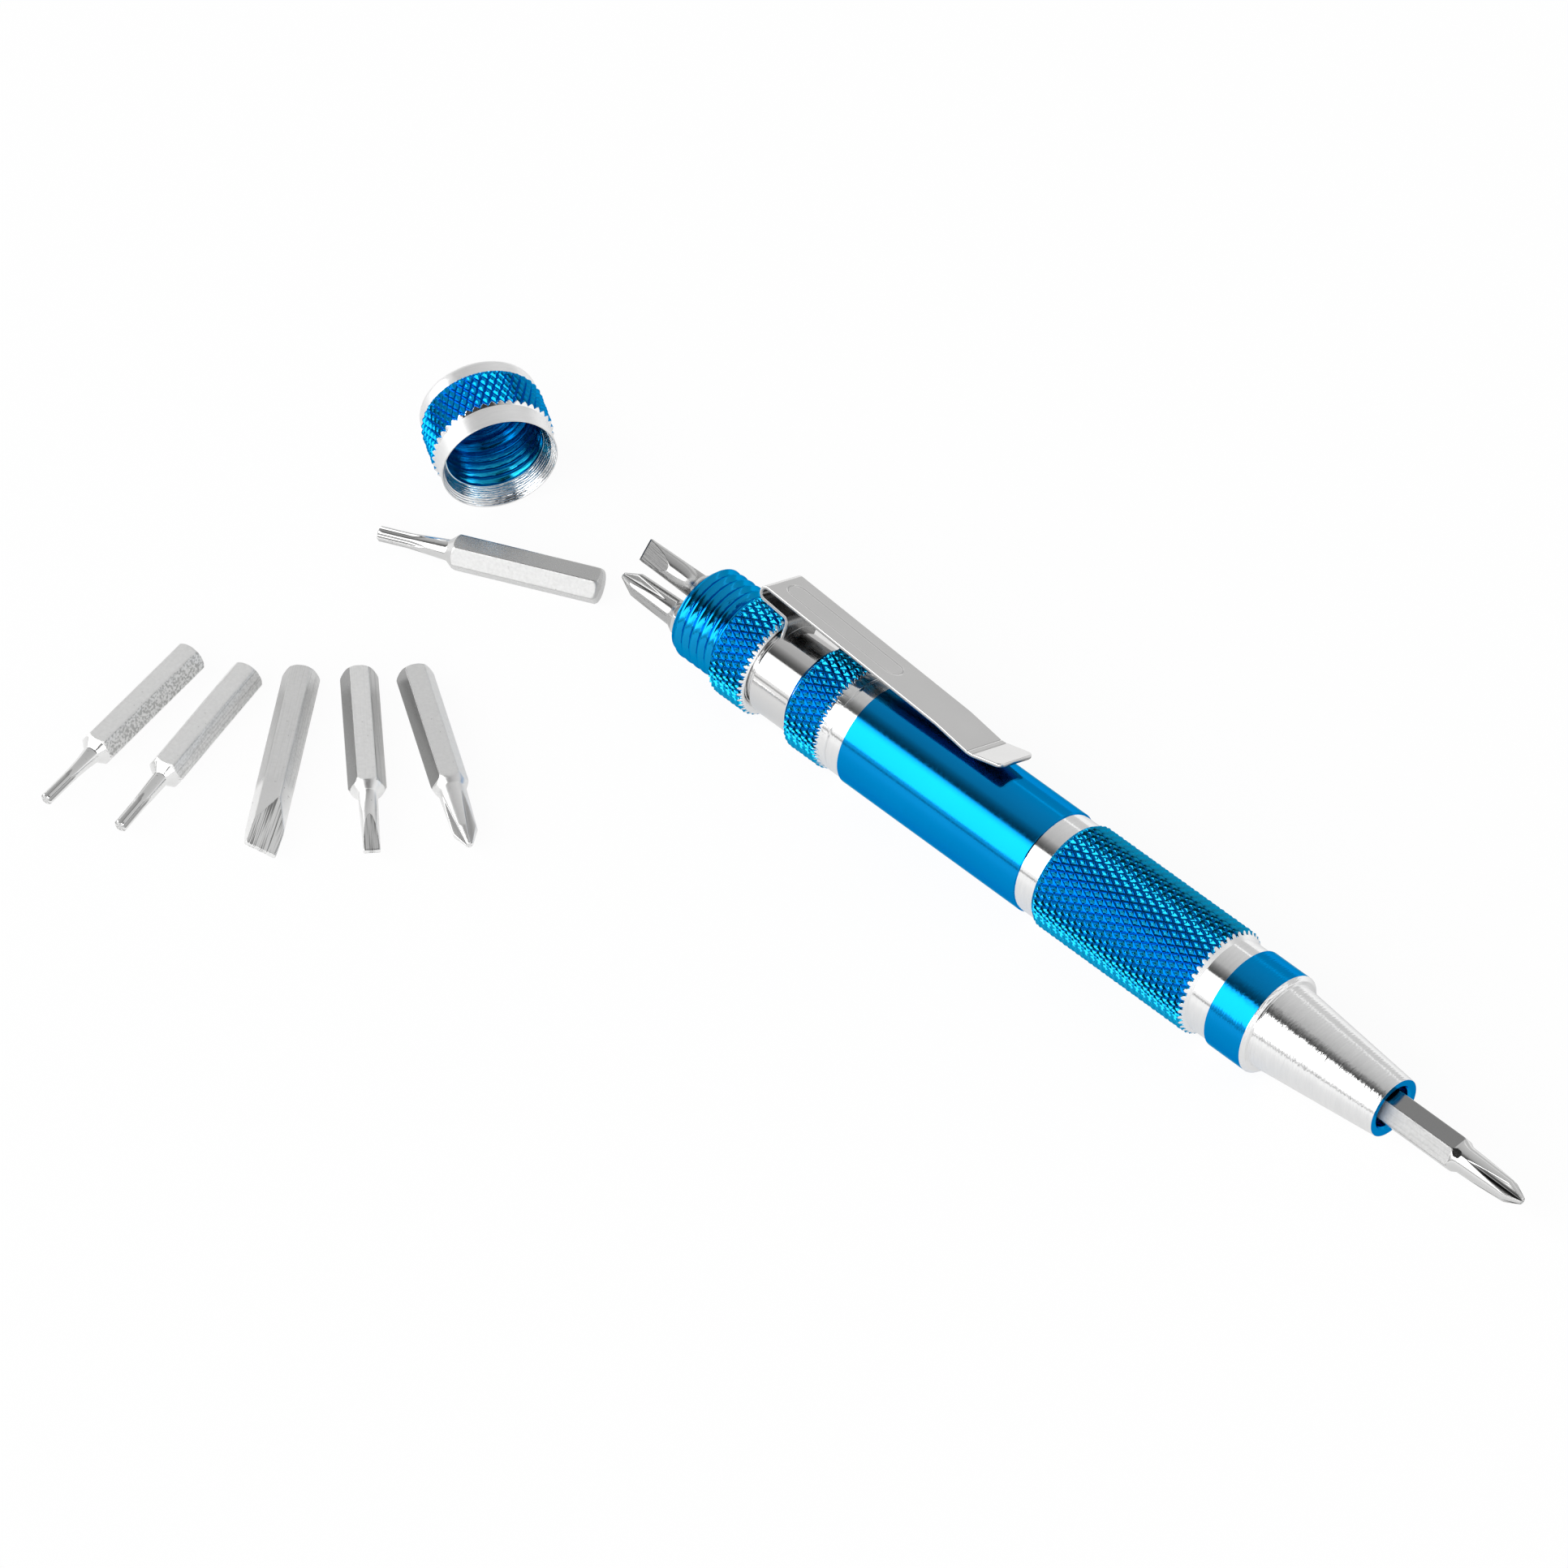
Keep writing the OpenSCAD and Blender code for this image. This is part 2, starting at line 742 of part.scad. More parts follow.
barrel();
nose();
hex_sleeve();
magnet();
clip_band();
clip_arm();
cap();
cross_bit_chuck();
blade_bit_store();
cross_bit_store();
star_bit_large();
star_bit_small();
star_bit_middle();
blade_bit_full();
blade_bit_narrow();
cross_bit_row();
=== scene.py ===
"""A pocket screwdriver in a white studio: blue anodised barrel with knurled grips and a spring clip,
bright coned nose, screw cap laid beside it, and nine hexagon bits. Sizes are in millimetres and angles
in degrees unless a comment says otherwise."""

import json
import math
from collections import namedtuple

import bmesh
import bpy
import numpy as np
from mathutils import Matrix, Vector


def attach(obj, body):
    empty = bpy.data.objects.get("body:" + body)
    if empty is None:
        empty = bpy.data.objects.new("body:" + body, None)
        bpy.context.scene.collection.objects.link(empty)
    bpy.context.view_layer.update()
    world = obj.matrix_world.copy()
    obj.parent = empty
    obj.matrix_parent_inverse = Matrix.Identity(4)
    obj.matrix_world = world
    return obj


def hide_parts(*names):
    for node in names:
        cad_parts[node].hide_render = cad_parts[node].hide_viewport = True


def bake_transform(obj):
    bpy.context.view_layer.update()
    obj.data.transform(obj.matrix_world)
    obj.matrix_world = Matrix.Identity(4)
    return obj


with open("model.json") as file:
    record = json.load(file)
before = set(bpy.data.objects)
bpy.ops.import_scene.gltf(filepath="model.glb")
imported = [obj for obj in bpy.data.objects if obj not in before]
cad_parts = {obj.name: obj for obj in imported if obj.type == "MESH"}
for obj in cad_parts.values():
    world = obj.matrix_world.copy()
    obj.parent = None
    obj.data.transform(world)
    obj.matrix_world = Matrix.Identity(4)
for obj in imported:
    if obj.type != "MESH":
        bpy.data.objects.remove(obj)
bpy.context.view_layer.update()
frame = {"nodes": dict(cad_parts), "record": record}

MM = 0.001
TURN = 2 * math.pi
FAR_OUT = 50.0
WHITE = (1, 1, 1, 1)
SQUARE = ((-1, -1), (1, -1), (1, 1), (-1, 1))

# Surface that everything lies on
GROUND_Z = -7.0

# Stations of the barrel and nose along their axis
X_TAIL = -7.4
X_GROOVE = 5.6
X_KNURL_B = 12.3
X_REAR_BAND = 17.8
X_SMOOTH = 21.2
X_FRONT_BAND = 49.6
X_KNURL_C = 52.4
X_NECK = 75.9
X_FRONT = 79.6
X_CONE = 85.5
X_NOSE = 103.0
X_BIT_SEAT = 94.7
X_SOCKET = 90.65
SPIGOT_LEN = 6.0
HUB_R = 1.0

# Radii of the barrel and nose
STORE_R = 4.7488
THREAD_R = 5.9988
GROOVE_R = 5.4488
KNURL_R = 7.0
BAND_R = 6.55
SMOOTH_R = 6.75
NECK_R = 6.2
COLLAR_R = 6.5
CONE_R = 5.5
NOSE_R = 3.83
SLEEVE_BORE_R = 2.6671

# Edges of the turned pieces
EDGE_ROUND = 0.08
SHARP_ROUND = 0.05
FINE_ROUND = 0.04
NOSE_ROUND = 0.06
ROUND_SHARE = 0.4
SUPPORT = 0.05
RING_APART = 0.02
STORE_CHAMFER = 0.4
TAIL_ROUND = 0.8
TAIL_CURVE = ((0.0, TAIL_ROUND), (0.25, 0.32), (0.55, 0.07), (TAIL_ROUND, 0.0))
KNURL_EDGE = 0.3
KNURL_CHAMFER = 0.6
KNURL_FOOT = 0.6
GROOVE_DYED = 0.3
COLLAR_CHAMFER = 0.45
COLLAR_FACE = 0.15
NOSE_RIM = 0.06
MOUTH_CHAMFER = 0.3
PRESS_GAP = 0.02
CREASE_ANGLE = 33.0
FINE_GROOVE = 0.3
FINE_GROOVE_AT = 1.1
NOSE_COLUMNS = 192

# Finish of a turned stretch: dyed or cut bright, and how strong its lathe lines are
DYED = -1
CUT = 1
LATHE = {"barrel": 0.25, "thread": 0.3, "root": 0.1, "smooth": 0.12, "collar": 1.0, "cone": 1.6,
         "nose_face": 0.4, "nose_bore": 0.3, "cap_end": 0.7, "cap_lip": 0.5, "cap_mouth": 1.4,
         "cap_floor": 0.6}

# Diamond knurl: starts round barrel and cap, length of a diamond, depth, how domed the diamonds are, lengths
# with finer rings at both ends, and where the bare metal of a cut-back edge may start
KNURL_COUNT = 42
CAP_KNURL_COUNT = 44
KNURL_LEAD = 2.0
KNURL_DEPTH = 0.48
CAP_KNURL_DEPTH = 0.40
KNURL_DOME = 1.7
KNURL_STEPS = 10
CHAMFER_STEP = 0.05
KNURL_FINE = (0.6, 0.8)
FRONT_KNURL_FINE = (0.8, 1.0)
CAP_KNURL_FINE = (0.7, 0.8)
BARE_FROM = 2.0
BARE_SHARPNESS = 10.0

# Tail thread and the thread in the cap, with the shares of their depth that are left at their ends
THREAD_PITCH = 1.25
THREAD_DEPTH = 0.45
CAP_THREAD_DEPTH = 0.30
THREAD_CREST = 0.30
THREAD_STEPS = 20
THREAD_FADE = 0.9
THREAD_START = 0.2
THREAD_END = (0.35, 0.5)
THREAD_ROOT = 0.2
CAP_THREAD_END = 0.3
CAP_THREAD_FADE = (1.5, 0.5)

# Screw cap, with its mouth at x 0 in its own frame, and where it lies
CAP_BORE_R = 6.0488
CAP_LIP_R = 7.1488
CAP_RIM = 0.15
CAP_FLOOR_DROP = 0.3
CAP_KNURL_R = 7.5988
CAP_END_R = 7.2988
CAP_DEPTH = 8.8
CAP_LEN = 10.6
CAP_MOUTH_LEN = 2.4
CAP_LIP_LEN = 2.8
CAP_KNURL_END = -8.5
CAP_END_ROUND = 1.2
CAP_END_STEPS = 8
CAP_LINE_PITCH = 0.30
CAP_LINE_DEPTH = 0.06
CAP_LINES = 3
CAP_MOUTH = (-41.1, -0.6, 0.5988)
CAP_TURN = -29.5

# Spring clip, drawn upright along x and up from the axis, then leant over
STRIP_T = 0.5
STRIP_W = 6.4
STRIP_EDGE = 0.14
STRIP_EDGE_STEPS = 5
STRIP_STEP = 0.11
STRIP_COLUMNS = 90
STRIP_BACK = 6
RING_IN_R = 5.4988
RING_W = 5.8
RING_GAP = 40.0
RING_STEPS = 130
RING_COLUMNS = 8
X_RING = 6.05
CLIP_LEAN = 24.0
X_HAIRPIN = 2.25
HAIRPIN_H = 8.8
HAIRPIN_R = 0.75
HAIRPIN_STEPS = 40
RISER_H = 7.65
BEND_R = 0.7
FOOT_R = 0.45
FOOT_LEN = 1.3
FOOT_SINK = 0.03
DIP = (30.25, 7.95)
TOE = (35.85, 7.2)
TOE_END = (40.45, 8.3)
ARM_BEND_R = 4.0
ARM_BELOW_DIP = 0.2
ARM_UPRIGHT = 0.9
TOE_ROUND = 0.9
CREASES = (-0.35, 0.55)
CREASE_W = 0.16
CREASE_DEPTH = 0.08
PANEL_FROM = 0.8
PANEL_LEN = 18.4
PANEL_W = 2.6
PANEL_LINE = 0.12
PANEL_LINE_DEPTH = 0.08
PANEL_DEPTH = 0.03

# Hexagon bits, and the counts of rows along their stretches
BIT_AF = 4.0
BIT_CORNER_R = BIT_AF / math.sqrt(3)
BIT_LEN = 28.0
BIT_FRONT = 10.0
BIT_SHOULDER = 1.2
BIT_ROUND = 0.75
BIT_COLUMNS = 240
PHI = TURN * np.arange(BIT_COLUMNS) / BIT_COLUMNS
BIT_NONE = np.zeros(BIT_COLUMNS)
BACK_FACE = (0.3, 0.97)
TIP_FACE = (0.97, 0.485)
ROUND_ROWS = 8
SHOULDER_ROWS = 18
SHOULDER_LEAD = 0.1
FLAT_LEAD = 0.3
LEAST_COSINE = 0.05
TIP_BLEND = 0.05
SHANK_BLEND = 0.06
BIT_EDGE = 0.16
HEX_LEN = BIT_LEN - BIT_FRONT
NECK_FROM = HEX_LEN + BIT_SHOULDER
CROSS_NECK_R = 1.7
CROSS_CONE_R = 1.46
CROSS_CONE_LEN = 2.1
CROSS_POINT_R = 0.42
CROSS_WEB_R = 0.32
CROSS_PLAIN = 1.0
CROSS_ROWS = (26, 16)
FLUTE_ROUND = 0.004
FLUTE_DROP = 0.05
FLUTE_OPEN = 0.02
# Width and fade of the painted shade along the floors of the cross flutes
FLUTE_FLOOR_W = 0.42
FLUTE_FLOOR_FADE = 1.5
STAR_LOBE_LEN = 4.0
STAR_RUNOUT = 12.0
STAR_CHAMFER = 0.16
STAR_GROOVE_SHARE = 0.32
STAR_GROOVE_PLACE = 1.04
# How dark the painted shade inside a star's grooves is
STAR_GROOVE_SHADE = 0.4
STAR_BLEND = 0.04
STAR_ROWS = (30, 12, 4)
BLADE_EDGE = 0.5
BLADE_FLARE = 0.2
BLADE_GROUND = 4.4
BLADE_FULL_GROUND = 7.0
BLADE_COSINE = 0.01
BLADE_RUNOUT = 1.2
BLADE_ROWS = (24, 14)
BLADE_FULL_ROWS = 46
STORE_CLEARANCE = 0.05
STORE_OFFSET = BIT_CORNER_R + STORE_CLEARANCE

# Tip and place of each bit.
# Cross: turn, and how dark the painted shade on the floors of the flutes is.
# Blade: width, turn, and how dark the painted shade on the ground faces is. Full blade: turn.
# Star: radius over the lobes, radius of the neck, and a power over 1 to draw the neck in as a curve.
# Store: turn round the barrel's axis, and reach out of the tail. Ground: x and y of the back end, and direction.
BITS = {
    "cross_bit_chuck": ("cross", (30, 0.95), "chuck", ()),
    "blade_bit_store": ("blade", (2.9, 28, 0.95), "store", (75, 10.2)),
    "cross_bit_store": ("cross", (0, 0.3), "store", (195, 11.0)),
    "star_bit_large": ("star", (0.94, 1.3, 1.0), "ground", (-22.0, -2.6, -153.7)),
    "star_bit_small": ("star", (0.76, 1.15, 2.2), "ground", (-48.4, -44.6, -80.6)),
    "star_bit_middle": ("star", (0.82, 1.0, 1.0), "ground", (-41.5, -41.9, -75.7)),
    "blade_bit_full": ("full_blade", (150,), "ground", (-36.9, -37.5, -53.7)),
    "blade_bit_narrow": ("blade", (2.0, 0, 0.2), "ground", (-32.1, -32.8, -40.8)),
    "cross_bit_row": ("cross", (58, 0.3), "ground", (-27.6, -28.1, -30.8)),
}

# Finish of each bit: roughness, grinding lines, tone and mottling of its flats, roughness and tone of its tip
# The tones are partly painted shade: flats and tips are set darker or lighter for the light they catch.
BitFinish = namedtuple("BitFinish", "rough lines tone mottle tip_rough tip_tone")
PLAIN = (0,) * 6
EVEN = (0.97,) * 6
GREY = (0.8,) * 6
STORED = (0.2, 0.1, 0.15, 0.25, 0.4, 0.1)
BIT_FINISHES = {
    "cross_bit_chuck": BitFinish(
        rough=(0.2, 0.2, 0.2, 0.15, 0.95, 0.3), lines=(0, 0, 0, 0, 0.15, 0),
        tone=(0.9, 0.9, 0.9, 0.26, 0.58, 0.9), mottle=(0, 0, 0, 0, 0.15, 0),
        tip_rough=0.03, tip_tone=0.8),
    "blade_bit_store": BitFinish(STORED, PLAIN, GREY, PLAIN, tip_rough=0.2, tip_tone=0.5),
    "cross_bit_store": BitFinish(STORED, PLAIN, GREY, PLAIN, tip_rough=0.15, tip_tone=0.5),
    "star_bit_large": BitFinish(
        rough=(0.3, 0.4, 0.8, 0.35, 0.4, 0.3), lines=PLAIN,
        tone=(0.8, 0.8, 0.71, 0.62, 0.8, 0.8), mottle=(0, 0, 0.1, 0, 0, 0),
        tip_rough=0.1, tip_tone=0.8),
    "star_bit_small": BitFinish(
        rough=(0.3, 0.6, 0.9, 1.0, 0.4, 0.4), lines=(0, 0, 0.08, 0, 0, 0),
        tone=EVEN, mottle=(0, 0, 0.7, 0, 0, 0), tip_rough=0.12, tip_tone=0.85),
    "star_bit_middle": BitFinish(
        rough=(0.3, 0.6, 0.8, 1.0, 0.4, 0.4), lines=(0, 0, 0.25, 0, 0, 0),
        tone=EVEN, mottle=(0, 0, 0.3, 0, 0, 0), tip_rough=0.12, tip_tone=0.85),
    "blade_bit_full": BitFinish(
        rough=(0.3, 0.5, 0.7, 0.9, 0.5, 0.4), lines=(0, 0, 0.15, 0.1, 0.1, 0),
        tone=(0.9, 0.9, 0.95, 0.9, 0.6, 0.9), mottle=(0, 0, 0.15, 0, 0.1, 0),
        tip_rough=0.45, tip_tone=0.97),
    "blade_bit_narrow": BitFinish(
        rough=(0.3, 0.5, 0.5, 1.0, 0.3, 0.4), lines=(0, 0, 0.35, 0.05, 0, 0),
        tone=(0.9, 0.9, 0.6, 1.0, 0.29, 0.9), mottle=PLAIN, tip_rough=0.5, tip_tone=0.97),
    "cross_bit_row": BitFinish(
        rough=(0.3, 0.5, 0.8, 0.9, 0.3, 0.4), lines=PLAIN,
        tone=(0.9, 0.9, 1.0, 0.92, 0.35, 0.9), mottle=PLAIN, tip_rough=0.5, tip_tone=0.95),
}
GROUND_FACE = 0.9

# Anodised colour, deep and light, a paler teal painted as light where inner bounces deepen the blue, and at a
# grazing view; shares of the pale colour, and how much rougher it makes cut metal
DYE_DEEP = (0.002, 0.265, 0.660, 1)
DYE_LIGHT = (0.004, 0.300, 0.715, 1)
PAINTED_LIGHT_TEAL = (0.020, 0.450, 0.620, 1)
KNURL_PALE = 0.45
CAP_KNURL_PALE = 0.1
THREAD_PALE = 0.2
CAP_PALE = 0.6
CAP_CUT_PALE = 1.0
CAP_MOUTH_PALE = 0.3
MATT_CUT = 0.28
DYE_EDGE = (0.05, 0.60, 0.85, 1)

# Turned metal: shades where cut, gloss, noise range and gloss of its specks, pitch, height in metres and
# shares of its lathe lines, and noise per mm
CUT_DARK = (0.86, 0.86, 0.865, 1)
CUT_LIGHT = (0.97, 0.97, 0.965, 1)
DYE_GLOSS = 0.13
CUT_GLOSS = 0.10
SPECK_GLOSS = (0.35, 0.75, -0.03, 0.04)
RIDGE_PITCH = 0.37
RIDGE_HEIGHT = 1.6e-5
RIDGE_SHARE = 0.22
MARK_SHARE = 1.6
RING_SCALE = (2.6, 0.35, 0.35)
MARK_SCALE = (6.5, 1.2, 1.2)
DYE_CLOUD_SCALE = 0.09
SPECK_SCALE = 2.6

# Clip's plating: shades of the plate, painted shade for pressed lines and for the inner face, gloss, and noise
# per metre
CHROME_DARK = (0.75, 0.745, 0.74, 1)
CHROME_LIGHT = (0.82, 0.815, 0.81, 1)
CHROME_LINE_SHADE = (0.22, 0.22, 0.22, 1)
CHROME_INNER_SHADE = (0.30, 0.30, 0.30, 1)
CHROME_GLOSS = (0.3, 0.8, 0.05, 0.12)
CHROME_INNER_GLOSS = 0.2
CHROME_CLOUD_SCALE = 160.0
CHROME_LINE_SCALE = (120.0, 2600.0, 2600.0)
CHROME_BUMP = (0.15, 4.0e-7)

# Steel of the bits: its shades and gloss, noise range and share of its grain, blotches, streaks and stains,
# bumps as two strengths and a height in metres, and noise per mm
STEEL_DARK = (0.92, 0.92, 0.915, 1)
STEEL_LIGHT = (0.97, 0.97, 0.965, 1)
STEEL_GRAIN = (0.80, 0.80, 0.795, 1)
# Dark end of the steel's tone, which also serves painted shade
STEEL_TONE = (0.12, 0.12, 0.12, 1)
STEEL_BLOTCH = (0.40, 0.40, 0.395, 1)
STEEL_STREAK = (0.16, 0.16, 0.158, 1)
STEEL_STAIN = (0.26, 0.26, 0.255, 1)
STEEL_GLOSS = (0.06, 0.62)
GRAIN_GLOSS = (0.3, 0.7, -0.03, 0.05)
BLOTCHES = (0.44, 0.58, 0.0, 1.0)
STREAKS = (0.50, 0.60, 0.0, 0.85)
STAINS = (0.69, 0.75, 0.0, 0.6)
PIT_BUMP = (0.02, 0.6, 2.0e-5)
LINE_BUMP = (0.05, 1.0, 3.0e-5)
PIT_POWER = 3.0
GRAIN_SCALE = 2.8
BLOTCH_SCALE = 3.2
STAIN_SCALE = 1.7
STEEL_CLOUD_SCALE = 0.35
SCRATCH_SCALE = (4.6, 1.0, 0.12)

# Sleeve and magnet: lighter and darker shade, gloss, its noise range and spread, bump, and noise per metre
INNER_FINISHES = {
    "hex_sleeve": ("sleeve_steel", (0.55, 0.55, 0.54, 1), (0.40, 0.40, 0.39, 1), 0.25),
    "magnet": ("magnet_plate", (0.50, 0.49, 0.47, 1), (0.34, 0.33, 0.32, 1), 0.30),
}
INNER_RANGE = (0.3, 0.7)
INNER_SPREAD = 0.12
INNER_BUMP = (0.2, 2.0e-6)
INNER_SCALE = 900.0

# Camera, as the photograph was taken
VIEW_AZIMUTH = 44.65
VIEW_ELEVATION = 47.58
VIEW_DISTANCE = 1349.5
VIEW_TARGET = (14.4, -8.6, -7.0)
VIEW_LENS = 264.67
SENSOR = 36.0
CLIP_RANGE = (0.01, 100.0)

# Floor in metres: half side, paint, shares of plain white in it as the camera and as a mirror see it, and the
# painted shade along the barrel that only a mirror sees, with its reach
FLOOR_REACH = 14.0
FLOOR_PAINT = (0.9, 0.9, 0.9, 1)
FLOOR_SEEN_WHITE = 0.94
FLOOR_MIRRORED_WHITE = 0.65
FLOOR_SHADE = 0.34
FLOOR_SHADE_REACH = 0.05

# World: its strength as a light, and as the camera, metal and glass see it
WORLD_LIGHT = 0.6
WORLD_SEEN = 1.0

# Long cards in metres: two edges as (y, z), the axis that the strength changes along, its stops and level
CARD_REACH = (-12.0, 6.0)
LONG_CARDS = {
    "far_wall": ((6.0, 0.0), (6.0, 3.1), "Z", ((0.0, 0.67), (1.0, 0.61), (3.1, 0.64)), 1.0),
    "ceiling": ((5.6, 3.5), (-1.70, 3.5), "Y",
                ((-1.70, 0.07), (-1.2, 0.10), (-0.9, 0.15), (-0.55, 0.24), (-0.35, 0.30), (0.06, 0.46),
                 (1.3, 0.55), (3.0, 0.62), (5.6, 0.66)), 1.0),
    "softbox": ((-1.75, 3.5), (-5.2, 1.1), "Y",
                ((-5.2, 0.9), (-2.45, 1.0), (-2.0, 0.75), (-1.75, 0.25)), 3.0),
    "near_wall": ((-5.3, 1.05), (-5.3, 0.0), "Z",
                  ((0.0, 0.40), (0.35, 0.45), (0.5, 0.95), (1.05, 0.95)), 1.0),
}

# Dark card behind the camera, in metres: its distance, half side and strengths
CAMERA_CARD_AT = 2.6
CAMERA_CARD = 1.1
CAMERA_CARD_STOPS = ((-4.0, 0.03), (4.0, 0.03))


def smooth_min(a, b, blend):
    """The smaller of two fields, with the corner between them rounded over the width blend."""
    share = np.clip(0.5 + 0.5 * (b - a) / blend, 0, 1)
    return b + (a - b) * share - blend * share * (1 - share)


def smooth_max(a, b, blend):
    return -smooth_min(-a, -b, blend)


def smooth_step(t):
    t = np.clip(t, 0, 1)
    return t * t * (3 - 2 * t)


def rounded(points, radius=EDGE_ROUND, steps=3):
    """A profile with rounded corners, and a point close to each round on the straight runs."""
    points = [np.array(p, float) for p in points]
    ends = [[points[0]]]
    for before, corner, after in zip(points, points[1:], points[2:]):
        u, v = corner - before, after - corner
        reach = min(radius, ROUND_SHARE * np.linalg.norm(u), ROUND_SHARE * np.linalg.norm(v))
        start = corner - reach * u / np.linalg.norm(u)
        end = corner + reach * v / np.linalg.norm(v)
        ends.append([(1 - t) ** 2 * start + 2 * t * (1 - t) * corner + t * t * end
                     for t in np.linspace(0, 1, steps + 1)])
    ends.append([points[-1]])
    made = []
    for here, there in zip(ends, ends[1:]):
        made += here
        run = there[0] - here[-1]
        length = np.linalg.norm(run)
        if length > 4 * SUPPORT:
            made += [here[-1] + run * SUPPORT / length, there[0] - run * SUPPORT / length]
    return made + ends[-1]


def grid_faces(rows, columns, split):
    """Faces of a grid whose columns close, with the cells of split cut along one of two diagonals."""
    i, j = np.meshgrid(np.arange(rows - 1), np.arange(columns), indexing="ij")
    here, there = i * columns + j, i * columns + (j + 1) % columns
    corners = np.stack([here, there, there + columns, here + columns], axis=-1)
    if split is None:
        return corners.reshape(-1, 4).tolist()
    first = np.where(split[..., None], corners[..., [0, 1, 2]], corners[..., [1, 2, 3]])
    second = np.where(split[..., None], corners[..., [0, 2, 3]], corners[..., [0, 1, 3]])
    return first.reshape(-1, 3).tolist() + second.reshape(-1, 3).tolist()


def shell(points, fields, split=None, closed=False):
    """Vertices, faces and fields of rings of points: joined end to end, or closed by a fan at each end."""
    rows, columns, _ = points.shape
    count = rows * columns
    if closed:
        faces = [[v % count for v in face] for face in grid_faces(rows + 1, columns, split)]
        return points.reshape(-1, 3), faces, {key: field.reshape(count, -1) for key, field in fields.items()}
    vertices = np.concatenate([points.reshape(-1, 3), [points[0].mean(axis=0), points[-1].mean(axis=0)]])
    faces = grid_faces(rows, columns, split)
    start, end, last = count, count + 1, count - columns
    for j in range(columns):
        k = (j + 1) % columns
        faces.append([start, k, j])
        faces.append([end, last + j, last + k])
    flat = {}
    for key, field in fields.items():
        field = field.reshape(rows, columns, -1)
        flat[key] = np.concatenate([field.reshape(count, -1),
                                    [field[0].mean(axis=0), field[-1].mean(axis=0)]])
    return vertices, faces, flat


def linked(name, data):
    """A new object of the scene."""
    made = bpy.data.objects.new(name, data)
    bpy.context.scene.collection.objects.link(made)
    return made


def piece(name, shells, material, body, replaced, crease=None):
    """One Blender object from closed shells, riding on a body in place of CAD nodes."""
    vertices, faces, fields, base = [], [], {}, 0
    for part, part_faces, part_fields in shells:
        vertices.append(part)
        faces += [[base + v for v in face] for face in part_faces]
        for key, field in part_fields.items():
            fields.setdefault(key, []).append(field)
        base += len(part)
    mesh = bpy.data.meshes.new(name)
    mesh.from_pydata((np.concatenate(vertices) * MM).tolist(), [], faces)
    for key, parts in fields.items():
        values = np.concatenate(parts).astype(np.float32)
        kind, target = ("FLOAT_VECTOR", "vector") if values.shape[1] == 3 else ("FLOAT", "value")
        mesh.attributes.new(key, kind, "POINT").data.foreach_set(target, values.ravel())
    work = bmesh.new()
    work.from_mesh(mesh)
    bmesh.ops.recalc_face_normals(work, faces=work.faces)
    work.to_mesh(mesh)
    work.free()
    mesh.shade_smooth()
    if crease:
        mesh.set_sharp_from_angle(angle=math.radians(crease))
    mesh.materials.append(material)
    made = linked(name, mesh)
    if body:
        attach(made, body)
    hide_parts(*replaced)
    return made


class Graph:
    """Short hand for the node tree of a material or of the world."""

    def __init__(self, owner):
        self.owner = owner
        owner.use_nodes = True
        self.tree = owner.node_tree

    def put(self, made, values):
        for key, value in values.items():
            if isinstance(value, bpy.types.NodeSocket):
                self.tree.links.new(value, made.inputs[key])
            else:
                made.inputs[key].default_value = value
        return made

    def node(self, kind, values, **settings):
        made = self.tree.nodes.new(kind)
        for key, value in settings.items():
            setattr(made, key, value)
        return self.put(made, values)

    def finish(self, **values):
        """Sets the shader's own sockets, named with underscores for spaces."""
        shader = self.tree.nodes["Principled BSDF"]
        self.put(shader, {key.replace("_", " "): value for key, value in values.items()})
        return self.owner

    def surface(self, shader):
        """Shows another shader in place of the material's own."""
        self.tree.nodes.remove(self.tree.nodes["Principled BSDF"])
        self.put(self.tree.nodes["Material Output"], {"Surface": shader})
        return self.owner

    def math(self, operation, a, b=0.0, c=0.0):
        return self.node("ShaderNodeMath", {0: a, 1: b, 2: c}, operation=operation).outputs[0]

    def between(self, value, low, high, to_low, to_high):
        ranges = {"Value": value, "From Min": low, "From Max": high, "To Min": to_low, "To Max": to_high}
        return self.node("ShaderNodeMapRange", ranges).outputs["Result"]

    def mix(self, share, a, b):
        """A mix of colours; its sockets go by number, because those of each data type share their names."""
        return self.node("ShaderNodeMix", {0: share, 6: a, 7: b}, data_type="RGBA").outputs[2]

    def stretched(self, vector, scale):
        return self.node("ShaderNodeMapping", {"Vector": vector, "Scale": scale}).outputs[0]

    def field(self, name, output="Fac"):
        return self.node("ShaderNodeAttribute", {}, attribute_name=name).outputs[output]

    def noise(self, scale, detail, vector):
        values = {"Vector": vector, "Scale": scale, "Detail": detail}
        return self.node("ShaderNodeTexNoise", values).outputs["Fac"]

    def object_space(self):
        return self.node("ShaderNodeTexCoord", {}).outputs["Object"]

    def position(self, axis):
        place = self.node("ShaderNodeNewGeometry", {}).outputs["Position"]
        return self.node("ShaderNodeSeparateXYZ", {"Vector": place}).outputs[axis]

    def bump(self, height, strength, distance, normal=None):
        values = {"Height": height, "Strength": strength, "Distance": distance}
        if normal is not None:
            values["Normal"] = normal
        return self.node("ShaderNodeBump", values).outputs["Normal"]


def new_material(name):
    return Graph(bpy.data.materials.new(name))


